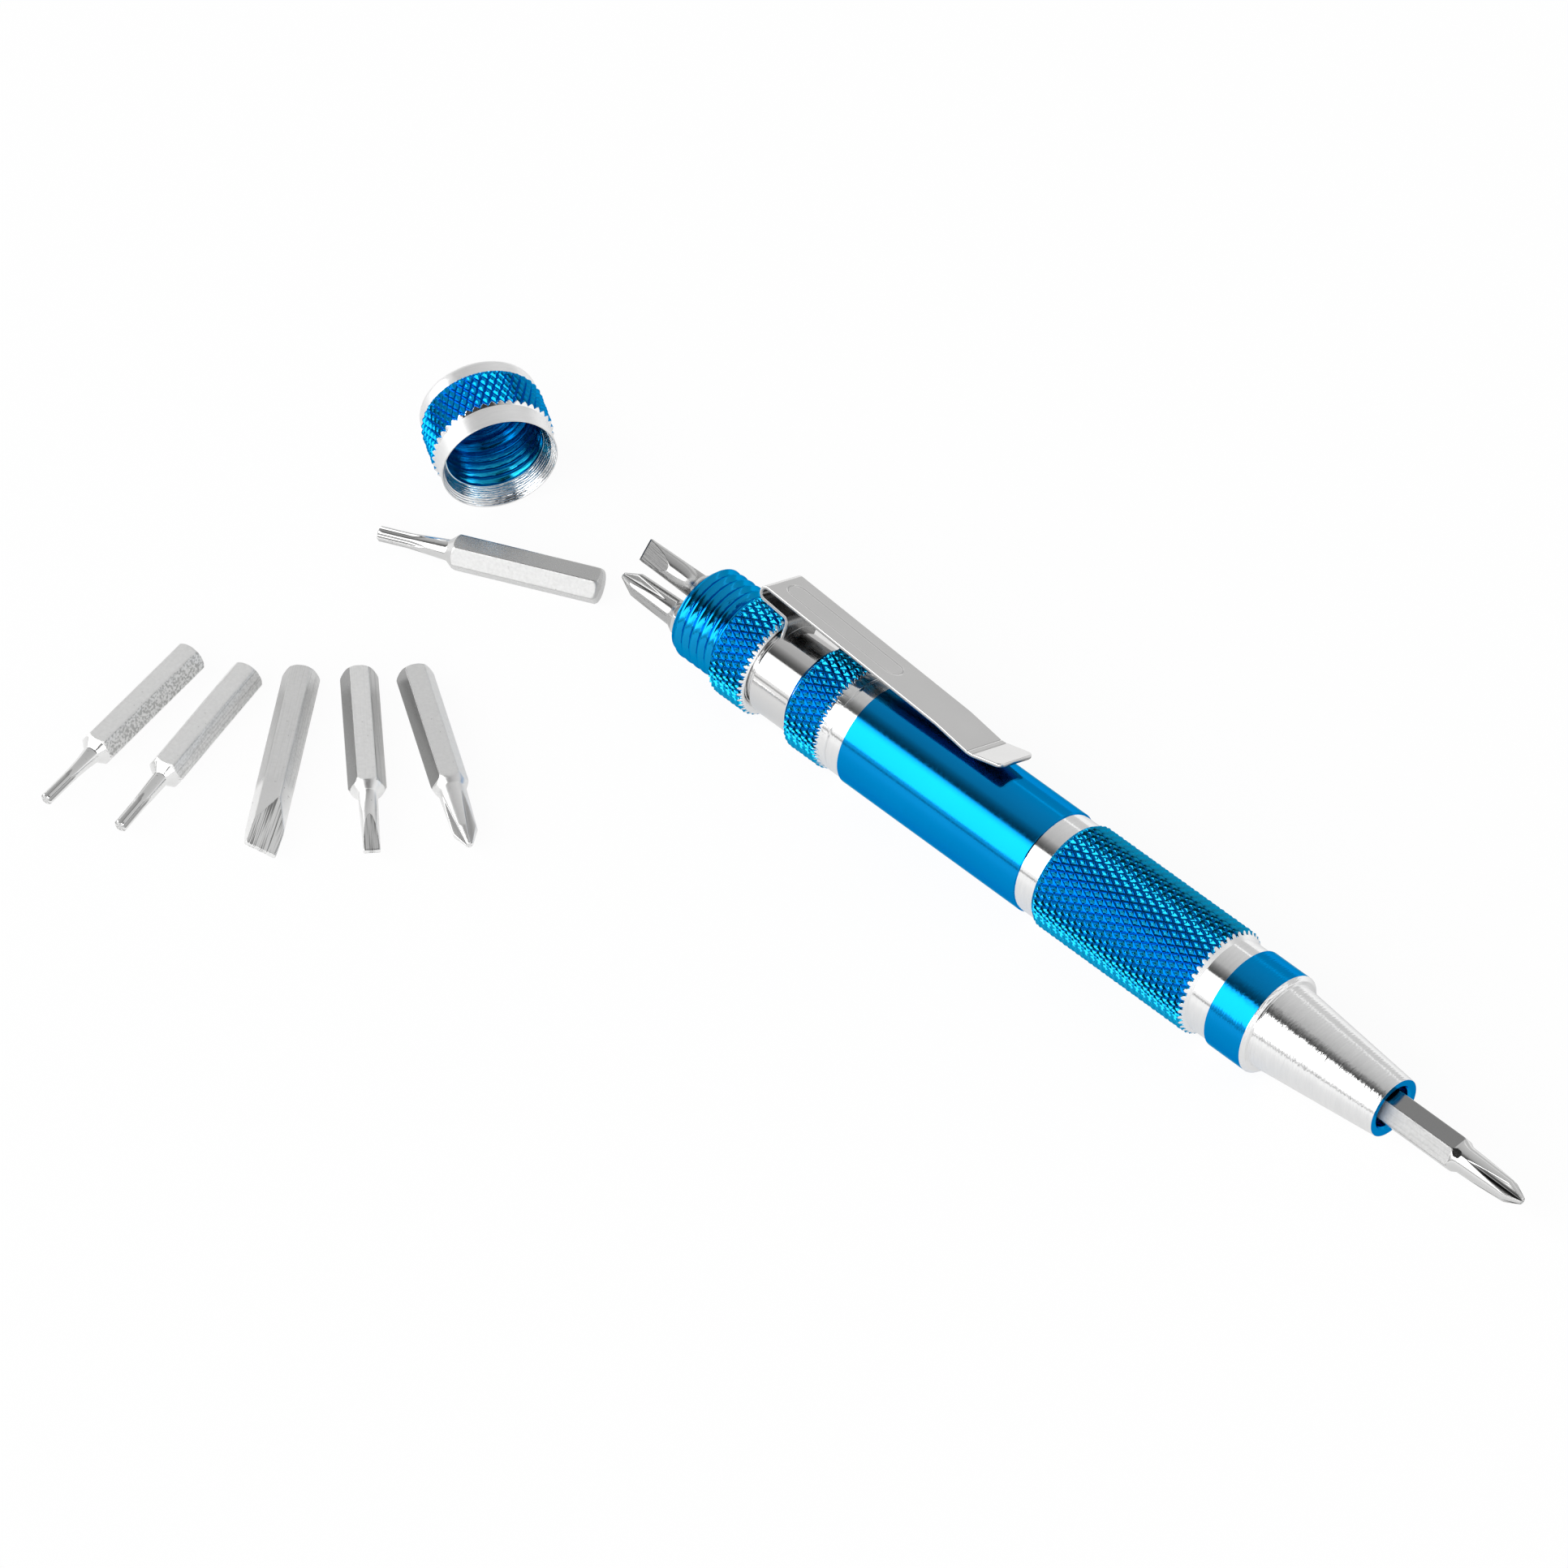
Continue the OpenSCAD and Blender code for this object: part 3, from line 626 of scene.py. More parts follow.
def turned_finish():
    """Anodised blue where the field bright is below zero and cut bright metal above it, with lathe lines;
    the field pale mixes in a paler teal, painted light in hollows, knurls and thread, and turns the metal matt."""
    g = new_material("anodised_and_bright")
    local = g.field("local", "Vector")
    pale = g.field("pale")
    cut = g.math("GREATER_THAN", g.field("bright"))
    apart = g.node("ShaderNodeSeparateXYZ", {"Vector": local}).outputs
    square = g.math("MULTIPLY_ADD", apart["Y"], apart["Y"], g.math("MULTIPLY", apart["Z"], apart["Z"]))
    feed = g.math("ADD", apart["X"], g.math("SQRT", square))
    ridge = g.math("SINE", g.math("MULTIPLY", feed, TURN / RIDGE_PITCH))
    rings = g.noise(1.0, 2.0, g.stretched(local, RING_SCALE))
    marks = g.noise(1.0, 2.0, g.stretched(local, MARK_SCALE))
    cloud = g.noise(DYE_CLOUD_SCALE, 3.0, local)
    # painted light: the field pale mixes in a paler teal in hollows, knurls and thread
    dye = g.mix(pale, g.mix(cloud, DYE_DEEP, DYE_LIGHT), PAINTED_LIGHT_TEAL)
    metal = g.mix(rings, CUT_DARK, CUT_LIGHT)
    speck = g.between(g.noise(SPECK_SCALE, 2.0, local), *SPECK_GLOSS)
    matt = g.math("MULTIPLY", g.math("MULTIPLY", cut, pale), MATT_CUT)
    gloss = g.math("ADD", g.math("ADD", g.between(cut, 0, 1, DYE_GLOSS, CUT_GLOSS), speck), matt)
    turning = g.math("MULTIPLY_ADD", ridge, RIDGE_SHARE, rings)
    height = g.math("MULTIPLY_ADD", marks, MARK_SHARE, turning)
    lines = g.bump(height, g.field("lathe"), RIDGE_HEIGHT)
    return g.finish(Base_Color=g.mix(cut, dye, metal), Metallic=1.0, Roughness=gloss, Normal=lines,
                    Specular_Tint=g.mix(cut, DYE_EDGE, WHITE))


def chrome_finish():
    """Bright plated spring steel: faint rolling lines, painted shade in the pressed lines and creases, and a
    dull inner face painted dark as shade.
    """
    g = new_material("clip_chrome_plate")
    space = g.object_space()
    lines = g.noise(1.0, 2.0, g.stretched(space, CHROME_LINE_SCALE))
    plate = g.mix(g.noise(CHROME_CLOUD_SCALE, 3.0, space), CHROME_DARK, CHROME_LIGHT)
    # painted shade: the pressed lines, the creases and the inner face under the strip are set dark
    inner = g.field("inner")
    colour = g.mix(inner, g.mix(g.field("pressed"), plate, CHROME_LINE_SHADE), CHROME_INNER_SHADE)
    dull = g.between(inner, 0, 1, 0.0, CHROME_INNER_GLOSS)
    gloss = g.math("ADD", g.between(lines, *CHROME_GLOSS), dull)
    return g.finish(Base_Color=colour, Metallic=1.0, Roughness=gloss, Normal=g.bump(lines, *CHROME_BUMP))


def steel_finish():
    """Satin plated tool steel with the finish of each flat, painted shade in its tone, grinding lines and dark
    specks.
    """
    g = new_material("bit_steel_satin")
    local = g.field("local", "Vector")
    rough = g.field("rough")
    ground = g.field("ground")
    scratch = g.noise(1.0, 3.0, g.stretched(g.field("lay", "Vector"), SCRATCH_SCALE))
    grain = g.noise(GRAIN_SCALE, 4.0, local)
    plate = g.mix(g.noise(STEEL_CLOUD_SCALE, 2.0, local), STEEL_DARK, STEEL_LIGHT)
    grained = g.mix(g.math("MULTIPLY", grain, rough), plate, STEEL_GRAIN)
    # tone and painted shade: the tone field darkens some flats, flute floors, grooves and ground faces
    toned = g.mix(g.field("tone"), STEEL_TONE, grained)
    blotch = g.between(g.noise(BLOTCH_SCALE, 3.0, local), *BLOTCHES)
    blotched = g.mix(g.math("MULTIPLY", g.field("mottle"), blotch), toned, STEEL_BLOTCH)
    streak = g.math("MULTIPLY", ground, g.between(scratch, *STREAKS))
    streaked = g.mix(streak, blotched, STEEL_STREAK)
    stain = g.between(g.noise(STAIN_SCALE, 4.0, local), *STAINS)
    colour = g.mix(stain, streaked, STEEL_STAIN)
    gloss = g.math("ADD", g.between(rough, 0, 1, *STEEL_GLOSS), g.between(grain, *GRAIN_GLOSS))
    pits = g.between(g.math("POWER", rough, PIT_POWER), 0, 1, *PIT_BUMP[:2])
    pitted = g.bump(grain, pits, PIT_BUMP[2])
    lined = g.bump(scratch, g.between(ground, 0, 1, *LINE_BUMP[:2]), LINE_BUMP[2], pitted)
    return g.finish(Base_Color=colour, Metallic=1.0, Roughness=gloss, Normal=lined)


def inner_finish(name, light, dark, gloss):
    """Plain machined metal for the pieces inside the nose."""
    g = new_material(name)
    cloud = g.noise(INNER_SCALE, 3.0, g.object_space())
    return g.finish(Base_Color=g.mix(cloud, dark, light), Metallic=1.0,
                    Roughness=g.between(cloud, *INNER_RANGE, gloss, gloss + INNER_SPREAD),
                    Normal=g.bump(cloud, *INNER_BUMP))


class Turning:
    """Rings of a turned piece from one end to the other, with the finish of each point."""

    def __init__(self, columns):
        self.theta = TURN * np.arange(columns) / columns
        self.rings = []

    def ring(self, x, r, bright, lathe, pale=0.0):
        one = np.ones_like(self.theta)
        self.rings.append(np.stack([x * one, r * one, bright * one, lathe * one, pale * one], axis=-1))

    def run(self, profile, bright, lathe="barrel", pale=0.0):
        for x, r in profile:
            self.ring(x, r, bright, LATHE[lathe], pale)

    def thread(self, stations, depth, rise, outer, inside, pale):
        """A right-handed V thread with rounded crests under the outline outer; rise shares out its depth."""
        whole = math.hypot(1, THREAD_CREST) - THREAD_CREST
        for x in stations:
            turn = x / THREAD_PITCH - self.theta / TURN
            from_crest = np.abs(2 * (turn - np.floor(turn)) - 1)
            drop = (np.hypot(from_crest, THREAD_CREST) - THREAD_CREST) / whole
            cut = depth * rise(x) * (1 - drop if inside else drop)
            self.ring(x, outer(x) - cut, DYED, LATHE["thread"], pale)

    def knurl(self, stations, crest_r, count, depth, limit, bare_from, pale=KNURL_PALE):
        """Diamond knurl under the turned outline limit, which is cut bright from bare_from on."""
        for x in stations:
            around, along = count * self.theta / TURN, x / KNURL_LEAD
            starts = [around + along, around - along]
            from_crest = np.maximum(*[np.abs(2 * (start - np.floor(start)) - 1) for start in starts])
            surface = crest_r - depth * from_crest ** KNURL_DOME
            outline = limit(x)
            bright = np.clip((surface - outline) * BARE_SHARPNESS, DYED, CUT) if x > bare_from else DYED
            self.ring(x, np.minimum(surface, outline), bright, 0.0, pale)

    def made(self, closed=False, place=None):
        rings = np.stack(self.rings)
        x, r = rings[..., 0], rings[..., 1]
        points = np.stack([x, r * np.cos(self.theta), r * np.sin(self.theta)], axis=-1)
        fields = {"local": points, "bright": rings[..., 2], "lathe": rings[..., 3], "pale": rings[..., 4]}
        return shell(points if place is None else place(points), fields, self.diagonals(r, closed), closed)

    def diagonals(self, r, closed):
        """For each cell, whether its first diagonal is lower than its second, so that creases stay sharp."""
        below = np.roll(r, -1, axis=0) if closed else r[1:]
        here = r if closed else r[:-1]
        first = here + np.roll(below, -1, axis=1)
        second = np.roll(here, -1, axis=1) + below
        return first < second


def stations(start, end, fine):
    """Places of a knurl's rings, in step with its diamonds and closer where its ends are cut back."""
    step = KNURL_LEAD / KNURL_STEPS
    fine_start, fine_end = fine
    inner = np.arange(math.ceil(start / step) * step, end, step)
    edges = np.concatenate([np.arange(start, start + fine_start, CHAMFER_STEP),
                            np.arange(end, end - fine_end, -CHAMFER_STEP)])
    middle = [x for x in inner if start + fine_start <= x <= end - fine_end]
    return np.unique(np.round(np.concatenate([edges, middle]), 5))


def outline(*points):
    xs, rs = zip(*points)
    return lambda x: float(np.interp(x, xs, rs))


def build_barrel(material):
    t = Turning(KNURL_COUNT * KNURL_STEPS)
    t.run(rounded([(X_TAIL + STORE_CHAMFER, STORE_R), (X_TAIL, STORE_R + STORE_CHAMFER),
                   (X_TAIL, THREAD_R - TAIL_ROUND)])[1:-1], DYED)
    tail_round = outline(*[(X_TAIL + u, THREAD_R - v) for u, v in TAIL_CURVE], (0, THREAD_R))
    fade = outline((X_TAIL, THREAD_START), (X_TAIL + THREAD_FADE, 1), (-THREAD_FADE, 1),
                   (-THREAD_END[0], THREAD_END[1]), (0, THREAD_END[1]))
    t.thread(np.arange(X_TAIL, -RING_APART, THREAD_PITCH / THREAD_STEPS), THREAD_DEPTH, fade, tail_round,
             False, THREAD_PALE)
    t.ring(-RING_APART, THREAD_R - THREAD_ROOT, DYED, LATHE["root"])
    grip = (KNURL_R, KNURL_COUNT, KNURL_DEPTH)
    foot_r, edge_r = KNURL_R - KNURL_FOOT, KNURL_R - KNURL_CHAMFER
    limit = outline((0, foot_r), (KNURL_EDGE, KNURL_R), (X_GROOVE - KNURL_CHAMFER, KNURL_R),
                    (X_GROOVE, edge_r))
    t.knurl(stations(0, X_GROOVE, KNURL_FINE), *grip, limit, X_GROOVE / 2)
    dyed_from = X_KNURL_B - GROOVE_DYED
    t.run(rounded([(X_GROOVE, edge_r), (X_GROOVE, GROOVE_R), (dyed_from, GROOVE_R)])[1:], CUT)
    t.run(rounded([(dyed_from + RING_APART, GROOVE_R), (X_KNURL_B, GROOVE_R),
                   (X_KNURL_B, foot_r)])[:-1], DYED)
    limit = outline((X_KNURL_B, foot_r), (X_KNURL_B + KNURL_EDGE, KNURL_R),
                    (X_REAR_BAND - KNURL_CHAMFER, KNURL_R), (X_REAR_BAND, BAND_R))
    t.knurl(stations(X_KNURL_B, X_REAR_BAND, KNURL_FINE), *grip, limit, X_KNURL_B + BARE_FROM)
    groove = X_REAR_BAND + FINE_GROOVE_AT
    t.run(rounded([(X_REAR_BAND, BAND_R), (groove, BAND_R), (groove + FINE_GROOVE / 2, BAND_R - FINE_GROOVE),
                   (groove + FINE_GROOVE, BAND_R), (X_SMOOTH - RING_APART, BAND_R)], FINE_ROUND)[1:], CUT)
    t.run(rounded([(X_SMOOTH, BAND_R), (X_SMOOTH, SMOOTH_R), (X_FRONT_BAND, SMOOTH_R),
                   (X_FRONT_BAND, BAND_R)], SHARP_ROUND), DYED, "smooth")
    t.run(rounded([(X_FRONT_BAND + RING_APART, BAND_R), (X_KNURL_C - RING_APART, BAND_R)]), CUT)
    neck = X_NECK + KNURL_R - NECK_R
    limit = outline((X_KNURL_C, BAND_R), (X_KNURL_C + KNURL_CHAMFER, KNURL_R), (X_NECK, KNURL_R),
                    (neck, NECK_R))
    t.knurl(stations(X_KNURL_C, neck, FRONT_KNURL_FINE), *grip, limit, X_KNURL_C + BARE_FROM)
    t.run(rounded([(neck, NECK_R), (X_FRONT, NECK_R), (X_FRONT, STORE_R),
                   (X_TAIL + STORE_CHAMFER, STORE_R)])[1:], CUT)
    piece("knurled_barrel", [t.made(closed=True)], material, "driver", ["barrel"],
          CREASE_ANGLE)


def build_nose(material):
    t = Turning(NOSE_COLUMNS)
    spigot = X_FRONT - SPIGOT_LEN
    t.run(rounded([(spigot, HUB_R), (spigot, STORE_R - PRESS_GAP), (X_FRONT, STORE_R - PRESS_GAP),
                   (X_FRONT, COLLAR_R - COLLAR_FACE - SUPPORT)])[:-1], CUT)
    t.run(rounded([(X_FRONT, COLLAR_R - COLLAR_FACE), (X_FRONT, COLLAR_R),
                   (X_CONE - COLLAR_CHAMFER - RING_APART, COLLAR_R)], NOSE_ROUND), DYED, "collar")
    t.run(rounded([(X_CONE - COLLAR_CHAMFER, COLLAR_R), (X_CONE, COLLAR_R - COLLAR_CHAMFER), (X_CONE, CONE_R),
                   (X_NOSE, NOSE_R), (X_NOSE, NOSE_R - NOSE_RIM)], NOSE_ROUND)[:-1], CUT, "cone")
    t.run(rounded([(X_NOSE, NOSE_R - NOSE_RIM - RING_APART), (X_NOSE, SLEEVE_BORE_R + MOUTH_CHAMFER),
                   (X_NOSE - MOUTH_CHAMFER, SLEEVE_BORE_R)]), DYED, "nose_face")
    t.run(rounded([(X_NOSE - MOUTH_CHAMFER - RING_APART, SLEEVE_BORE_R), (X_SOCKET, SLEEVE_BORE_R),
                   (X_SOCKET, HUB_R)]), DYED, "nose_bore")
    piece("coned_nose", [t.made()], material, "driver", ["nose"])


def cap_place(points):
    turn = math.radians(CAP_TURN)
    x, y, z = np.moveaxis(points, -1, 0)
    return np.stack([CAP_MOUTH[0] + x * math.cos(turn) - y * math.sin(turn),
                     CAP_MOUTH[1] + x * math.sin(turn) + y * math.cos(turn), CAP_MOUTH[2] + z], axis=-1)


def build_cap(material):
    t = Turning(CAP_KNURL_COUNT * KNURL_STEPS)
    t.run(rounded([(-CAP_LEN, HUB_R), (-CAP_LEN, CAP_END_R), (CAP_KNURL_END, CAP_END_R)],
                  CAP_END_ROUND, CAP_END_STEPS), CUT, "cap_end", CAP_CUT_PALE)
    limit = outline((CAP_KNURL_END, CAP_END_R), (CAP_KNURL_END + CAP_KNURL_R - CAP_END_R, CAP_KNURL_R),
                    (-CAP_LIP_LEN - (CAP_KNURL_R - CAP_LIP_R), CAP_KNURL_R), (-CAP_LIP_LEN, CAP_LIP_R))
    t.knurl(stations(CAP_KNURL_END, -CAP_LIP_LEN, CAP_KNURL_FINE), CAP_KNURL_R, CAP_KNURL_COUNT,
            CAP_KNURL_DEPTH, limit, -CAP_LEN, CAP_KNURL_PALE)
    mouth_r = CAP_LIP_R - CAP_RIM
    inmost = (-CAP_MOUTH_LEN, CAP_BORE_R + RING_APART)
    flare = outline(inmost, (0, mouth_r))
    t.run(rounded([(-CAP_LIP_LEN, CAP_LIP_R), (0, CAP_LIP_R), (0, mouth_r)], SHARP_ROUND)[1:-1],
          CUT, "cap_lip", CAP_CUT_PALE)
    mouth = [(0, CAP_LIP_R), (0, mouth_r)]
    for k in range(CAP_LINES):
        x = -(k + 0.5) * CAP_LINE_PITCH
        mouth += [(x, flare(x)), (x - CAP_LINE_PITCH / 4, flare(x) + CAP_LINE_DEPTH),
                  (x - CAP_LINE_PITCH / 2, flare(x - CAP_LINE_PITCH / 2))]
    t.run(rounded(mouth + [inmost], SHARP_ROUND)[3:], CUT, "cap_mouth", CAP_MOUTH_PALE)
    fade = outline((-CAP_DEPTH, CAP_THREAD_END), (-CAP_DEPTH + CAP_THREAD_FADE[0], 1),
                   (-CAP_MOUTH_LEN - CAP_THREAD_FADE[1], 1), (-CAP_MOUTH_LEN, CAP_THREAD_END))
    step = THREAD_PITCH / THREAD_STEPS
    t.thread(np.arange(-CAP_MOUTH_LEN - RING_APART, step - CAP_DEPTH, -step), CAP_THREAD_DEPTH, fade,
             lambda x: CAP_BORE_R, True, CAP_PALE)
    t.run(rounded([(-CAP_DEPTH, CAP_BORE_R - CAP_FLOOR_DROP), (-CAP_DEPTH, HUB_R)]),
          DYED, "cap_floor", CAP_PALE)
    piece("screw_cap", [t.made(place=cap_place)], material, "cap", ["cap"], CREASE_ANGLE)


def lean(points):
    """Leans points (along, across, up) of the upright clip to the far side."""
    c, s = math.cos(math.radians(CLIP_LEAN)), math.sin(math.radians(CLIP_LEAN))
    x, y, z = np.moveaxis(np.asarray(points, float), -1, 0)
    return np.stack([x, y * c + z * s, -y * s + z * c], axis=-1)


def strip_section(width, thickness, across):
    """Closed outline of a strip's section, with round edges, as (across, out) points."""
    half, side = width / 2 - STRIP_EDGE, thickness / 2
    turns = np.linspace(0, math.pi / 2, STRIP_EDGE_STEPS)
    right = [(half + STRIP_EDGE * math.cos(a), side - STRIP_EDGE + STRIP_EDGE * math.sin(a)) for a in turns]
    left = [(-y, z) for y, z in reversed(right)]
    low_left, low_right = [[(y, -z) for y, z in reversed(edge)] for edge in (left, right)]
    top = [(y, side) for y in np.linspace(half - SUPPORT, -half + SUPPORT, across)]
    bottom = [(y, -side) for y in np.linspace(-half + SUPPORT, half - SUPPORT, STRIP_BACK)]
    return np.array(right + top + left + low_left + bottom + low_right)


def bent(points, radii, steps=8):
    """A line with its corners bent round, each to its own radius."""
    points = [np.array(p, float) for p in points]
    made = [points[0]]
    for before, corner, after, radius in zip(points, points[1:], points[2:], radii):
        u, v = (corner - before), (after - corner)
        u, v = u / np.linalg.norm(u), v / np.linalg.norm(v)
        turn = math.atan2(u[0] * v[1] - u[1] * v[0], float(u @ v))
        side = math.copysign(1, turn)
        centre = corner - radius * math.tan(abs(turn) / 2) * u + radius * side * np.array([-u[1], u[0]])
        for a in np.linspace(0, turn, steps + 1):
            made.append(centre + radius * side * np.array([u[1] * math.cos(a) + u[0] * math.sin(a),
                                                           -u[0] * math.cos(a) + u[1] * math.sin(a)]))
    return made + [points[-1]]


def clip_line():
    """The middle line of the clip's strip from foot to toe, and where the arm starts and how it slopes."""
    x_riser = X_RING + STRIP_T / 2
    foot_h = RING_IN_R + STRIP_T / 2 - FOOT_SINK
    top_h = HAIRPIN_H + HAIRPIN_R
    climb = math.degrees(math.atan((HAIRPIN_H - HAIRPIN_R - RISER_H) / (x_riser - X_HAIRPIN)))
    slope = math.degrees(math.atan((top_h - DIP[1]) / (DIP[0] - X_HAIRPIN)))
    turn = np.radians(np.linspace(-90 - climb, -270 - slope, HAIRPIN_STEPS))
    hairpin = [np.array([X_HAIRPIN + HAIRPIN_R * math.cos(a), HAIRPIN_H + HAIRPIN_R * math.sin(a)])
               for a in turn]
    lower = bent([(x_riser + FOOT_LEN, foot_h), (x_riser, foot_h), (x_riser, RISER_H), hairpin[0]],
                 (FOOT_R, BEND_R))
    upper = bent([hairpin[-1], DIP, TOE, TOE_END], (ARM_BEND_R, ARM_BEND_R))
    corners = lower[:-1] + hairpin + upper[1:]
    line = [corners[0]]
    for a, b in zip(corners, corners[1:]):
        steps = max(1, round(np.linalg.norm(b - a) / STRIP_STEP))
        line += [a + (b - a) * k / steps for k in range(1, steps + 1)]
    return np.array(line), hairpin[-1], math.radians(slope)


def panel_press(along, across):
    """How deep the pressed panel goes below the arm: a fine line round a slightly sunk field."""
    half = PANEL_W / 2
    middle = np.clip(along, PANEL_FROM + half, PANEL_FROM + PANEL_LEN - half)
    edge = np.hypot(along - middle, across) - half
    line = np.maximum(0, 1 - np.abs(edge) / PANEL_LINE)
    return PANEL_LINE_DEPTH * line + PANEL_DEPTH * smooth_step(-edge / PANEL_LINE)


def build_clip(material):
    line, arm_from, slope = clip_line()
    heading = np.gradient(line, axis=0)
    heading /= np.linalg.norm(heading, axis=1)[:, None]
    normal = np.stack([-heading[:, 1], heading[:, 0]], axis=-1)
    section = strip_section(STRIP_W, STRIP_T, STRIP_COLUMNS)
    run = np.concatenate([[0], np.cumsum(np.linalg.norm(np.diff(line, axis=0), axis=1))])
    foot_r = RING_IN_R + STRIP_T / 2 - FOOT_SINK
    sag = foot_r - np.sqrt(foot_r ** 2 - section[:, 0] ** 2)
    follow = smooth_step(1 - (run - FOOT_LEN) / (RISER_H - foot_r))
    along = (line - arm_from) @ np.array([math.cos(slope), -math.sin(slope)])
    on_arm = (line[:, 1] > DIP[1] - ARM_BELOW_DIP) & (normal[:, 1] > ARM_UPRIGHT)
    press = panel_press(along[:, None], section[None, :, 0]) * on_arm[:, None]
    from_toe = run - run[np.argmin(np.linalg.norm(line - np.array(TOE), axis=1))]
    for at in CREASES:
        press = press + CREASE_DEPTH * np.maximum(0, 1 - np.abs(from_toe - at) / CREASE_W)[:, None]
    press = press * (section[:, 1] > 0)[None, :]
    out = section[None, :, 1] - press
    flat = line[:, None, :] + normal[:, None, :] * out[..., None]
    flat[..., 1] -= sag[None, :] * follow[:, None]
    left = np.minimum(run[-1] - run, TOE_ROUND)
    inset = TOE_ROUND - np.sqrt(TOE_ROUND ** 2 - (TOE_ROUND - left) ** 2)
    across = section[None, :, 0] * (1 - 2 * inset[:, None] / STRIP_W)
    # the inner face, which is painted dark as shade
    inner = np.broadcast_to((section[None, :, 1] < 0) * 1.0, across.shape)
    # painted shade along the pressed panel line and the creases
    pressed = np.clip((press - PANEL_DEPTH) / PANEL_LINE_DEPTH, 0, 1)
    strip = shell(lean(np.stack([flat[..., 0], across, flat[..., 1]], axis=-1)),
                  {"inner": inner, "pressed": pressed})

    hoop = strip_section(RING_W, STRIP_T, RING_COLUMNS)
    angles = np.radians(np.linspace(RING_GAP / 2 - 90, 270 - RING_GAP / 2, RING_STEPS))[:, None]
    radius = RING_IN_R + STRIP_T / 2 + hoop[None, :, 1]
    x = np.broadcast_to(X_RING + RING_W / 2 + hoop[None, :, 0], (len(angles), len(hoop)))
    ring = shell(lean(np.stack([x, radius * np.cos(angles), radius * np.sin(angles)], axis=-1)),
                 {"inner": np.zeros(x.shape), "pressed": np.zeros(x.shape)})

    clip = piece("spring_clip", [strip, ring], material, None, ["clip_band", "clip_arm"])
    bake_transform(clip)


def hexagon():
    """Radius of the hexagon at each column, with a flat towards local x and its corners a little rounded."""
    planes = [BIT_AF / 2 / np.maximum(np.cos(PHI - a), LEAST_COSINE) for a in TURN * np.arange(6) / 6]
    planes = np.sort(np.array(planes), axis=0)
    return smooth_min(planes[0], planes[1], BIT_EDGE)


def shank_radius(z, neck_r):
    """The hexagon at station z, rounded at its back and coned to the neck at its front."""
    back = FAR_OUT
    if z < BIT_ROUND:
        back = BIT_CORNER_R - BIT_ROUND + math.sqrt(BIT_ROUND ** 2 - (BIT_ROUND - z) ** 2)
    cone = np.interp(z, [HEX_LEN, NECK_FROM], [BIT_CORNER_R, neck_r]) if z > HEX_LEN else FAR_OUT
    return smooth_min(hexagon(), np.full(BIT_COLUMNS, min(back, cone)), SHANK_BLEND)


def joined_rows(places, counts):
    """Rows from place to place, each stretch with its own count."""
    rows = [places[0]]
    for start, end, count in zip(places, places[1:], counts):
        rows += list(np.linspace(start, end, count)[1:])
    return rows


def cross_tip(turn, flute_floor_shade):
    """A cross tip; its last argument is how dark the painted shade is along the floors of its flutes."""
    flute_len = BIT_FRONT - BIT_SHOULDER - CROSS_PLAIN
    tilt = math.atan((CROSS_NECK_R - CROSS_WEB_R) / flute_len)
    outer = ([HEX_LEN, NECK_FROM, BIT_LEN - CROSS_CONE_LEN, BIT_LEN],
             [CROSS_NECK_R, CROSS_NECK_R, CROSS_CONE_R, CROSS_POINT_R])

    def radius(z):
        r = np.full(BIT_COLUMNS, np.interp(z, *outer))
        dark = BIT_NONE
        back = CROSS_WEB_R * math.cos(tilt) + (BIT_LEN - z) * math.sin(tilt)
        for a in np.radians(turn + 90 * np.arange(4)):
            side = np.sqrt(np.sin(PHI - a) ** 2 + FLUTE_ROUND) - FLUTE_DROP
            open_to = np.cos(PHI - a) * math.cos(tilt) - side
            flute = np.where(open_to > FLUTE_OPEN, back / np.maximum(open_to, FLUTE_OPEN), FAR_OUT)
            # painted shade: the tone is darkened near each flute's floor, where shade falls
            near_floor = smooth_step(FLUTE_FLOOR_FADE - flute * np.abs(np.sin(PHI - a)) / FLUTE_FLOOR_W)
            dark = np.maximum(dark, flute_floor_shade * near_floor * (flute < r))
            r = smooth_min(r, flute, TIP_BLEND)
        return r, BIT_NONE, dark
    rows = joined_rows([NECK_FROM, BIT_LEN - CROSS_CONE_LEN, BIT_LEN], CROSS_ROWS)
    return radius, rows, CROSS_NECK_R, None


def star_tip(tip_r, neck_r, hollow):
    """A six-lobed tip; hollow over 1 draws the neck in as a curve."""
    lobe_from = BIT_LEN - STAR_LOBE_LEN
    groove = tip_r * STAR_GROOVE_SHARE

    def radius(z):
        share = np.clip((z - NECK_FROM) / (lobe_from - NECK_FROM), 0, 1)
        outer = tip_r + (neck_r - tip_r) * (1 - share) ** hollow
        outer = min(outer, tip_r - STAR_CHAMFER + (BIT_LEN - z))
        r = np.full(BIT_COLUMNS, outer)
        place = tip_r * STAR_GROOVE_PLACE + max(0, lobe_from - z) * math.tan(math.radians(STAR_RUNOUT))
        dark = BIT_NONE
        for a in TURN * np.arange(6) / 6:
            inside = groove ** 2 - (place * np.sin(PHI - a)) ** 2
            near = place * np.cos(PHI - a) - np.sqrt(np.maximum(inside, 0))
            cut = np.where((inside > 0) & (near > 0), near, FAR_OUT)
            # painted shade inside the grooves
            dark = np.maximum(dark, STAR_GROOVE_SHADE * (cut < r))
            r = smooth_min(r, cut, STAR_BLEND)
        return r, BIT_NONE, dark
    rows = joined_rows([NECK_FROM, lobe_from, BIT_LEN - STAR_CHAMFER, BIT_LEN], STAR_ROWS)
    return radius, rows, neck_r, None


def grind(z, length, full_t, turn):
    """Radius that the two ground planes of a blade leave at station z."""
    half = BLADE_EDGE / 2 + (BIT_LEN - z) * (full_t - BLADE_EDGE) / 2 / length
    return half / np.maximum(np.abs(np.cos(PHI - math.radians(turn))), BLADE_COSINE)


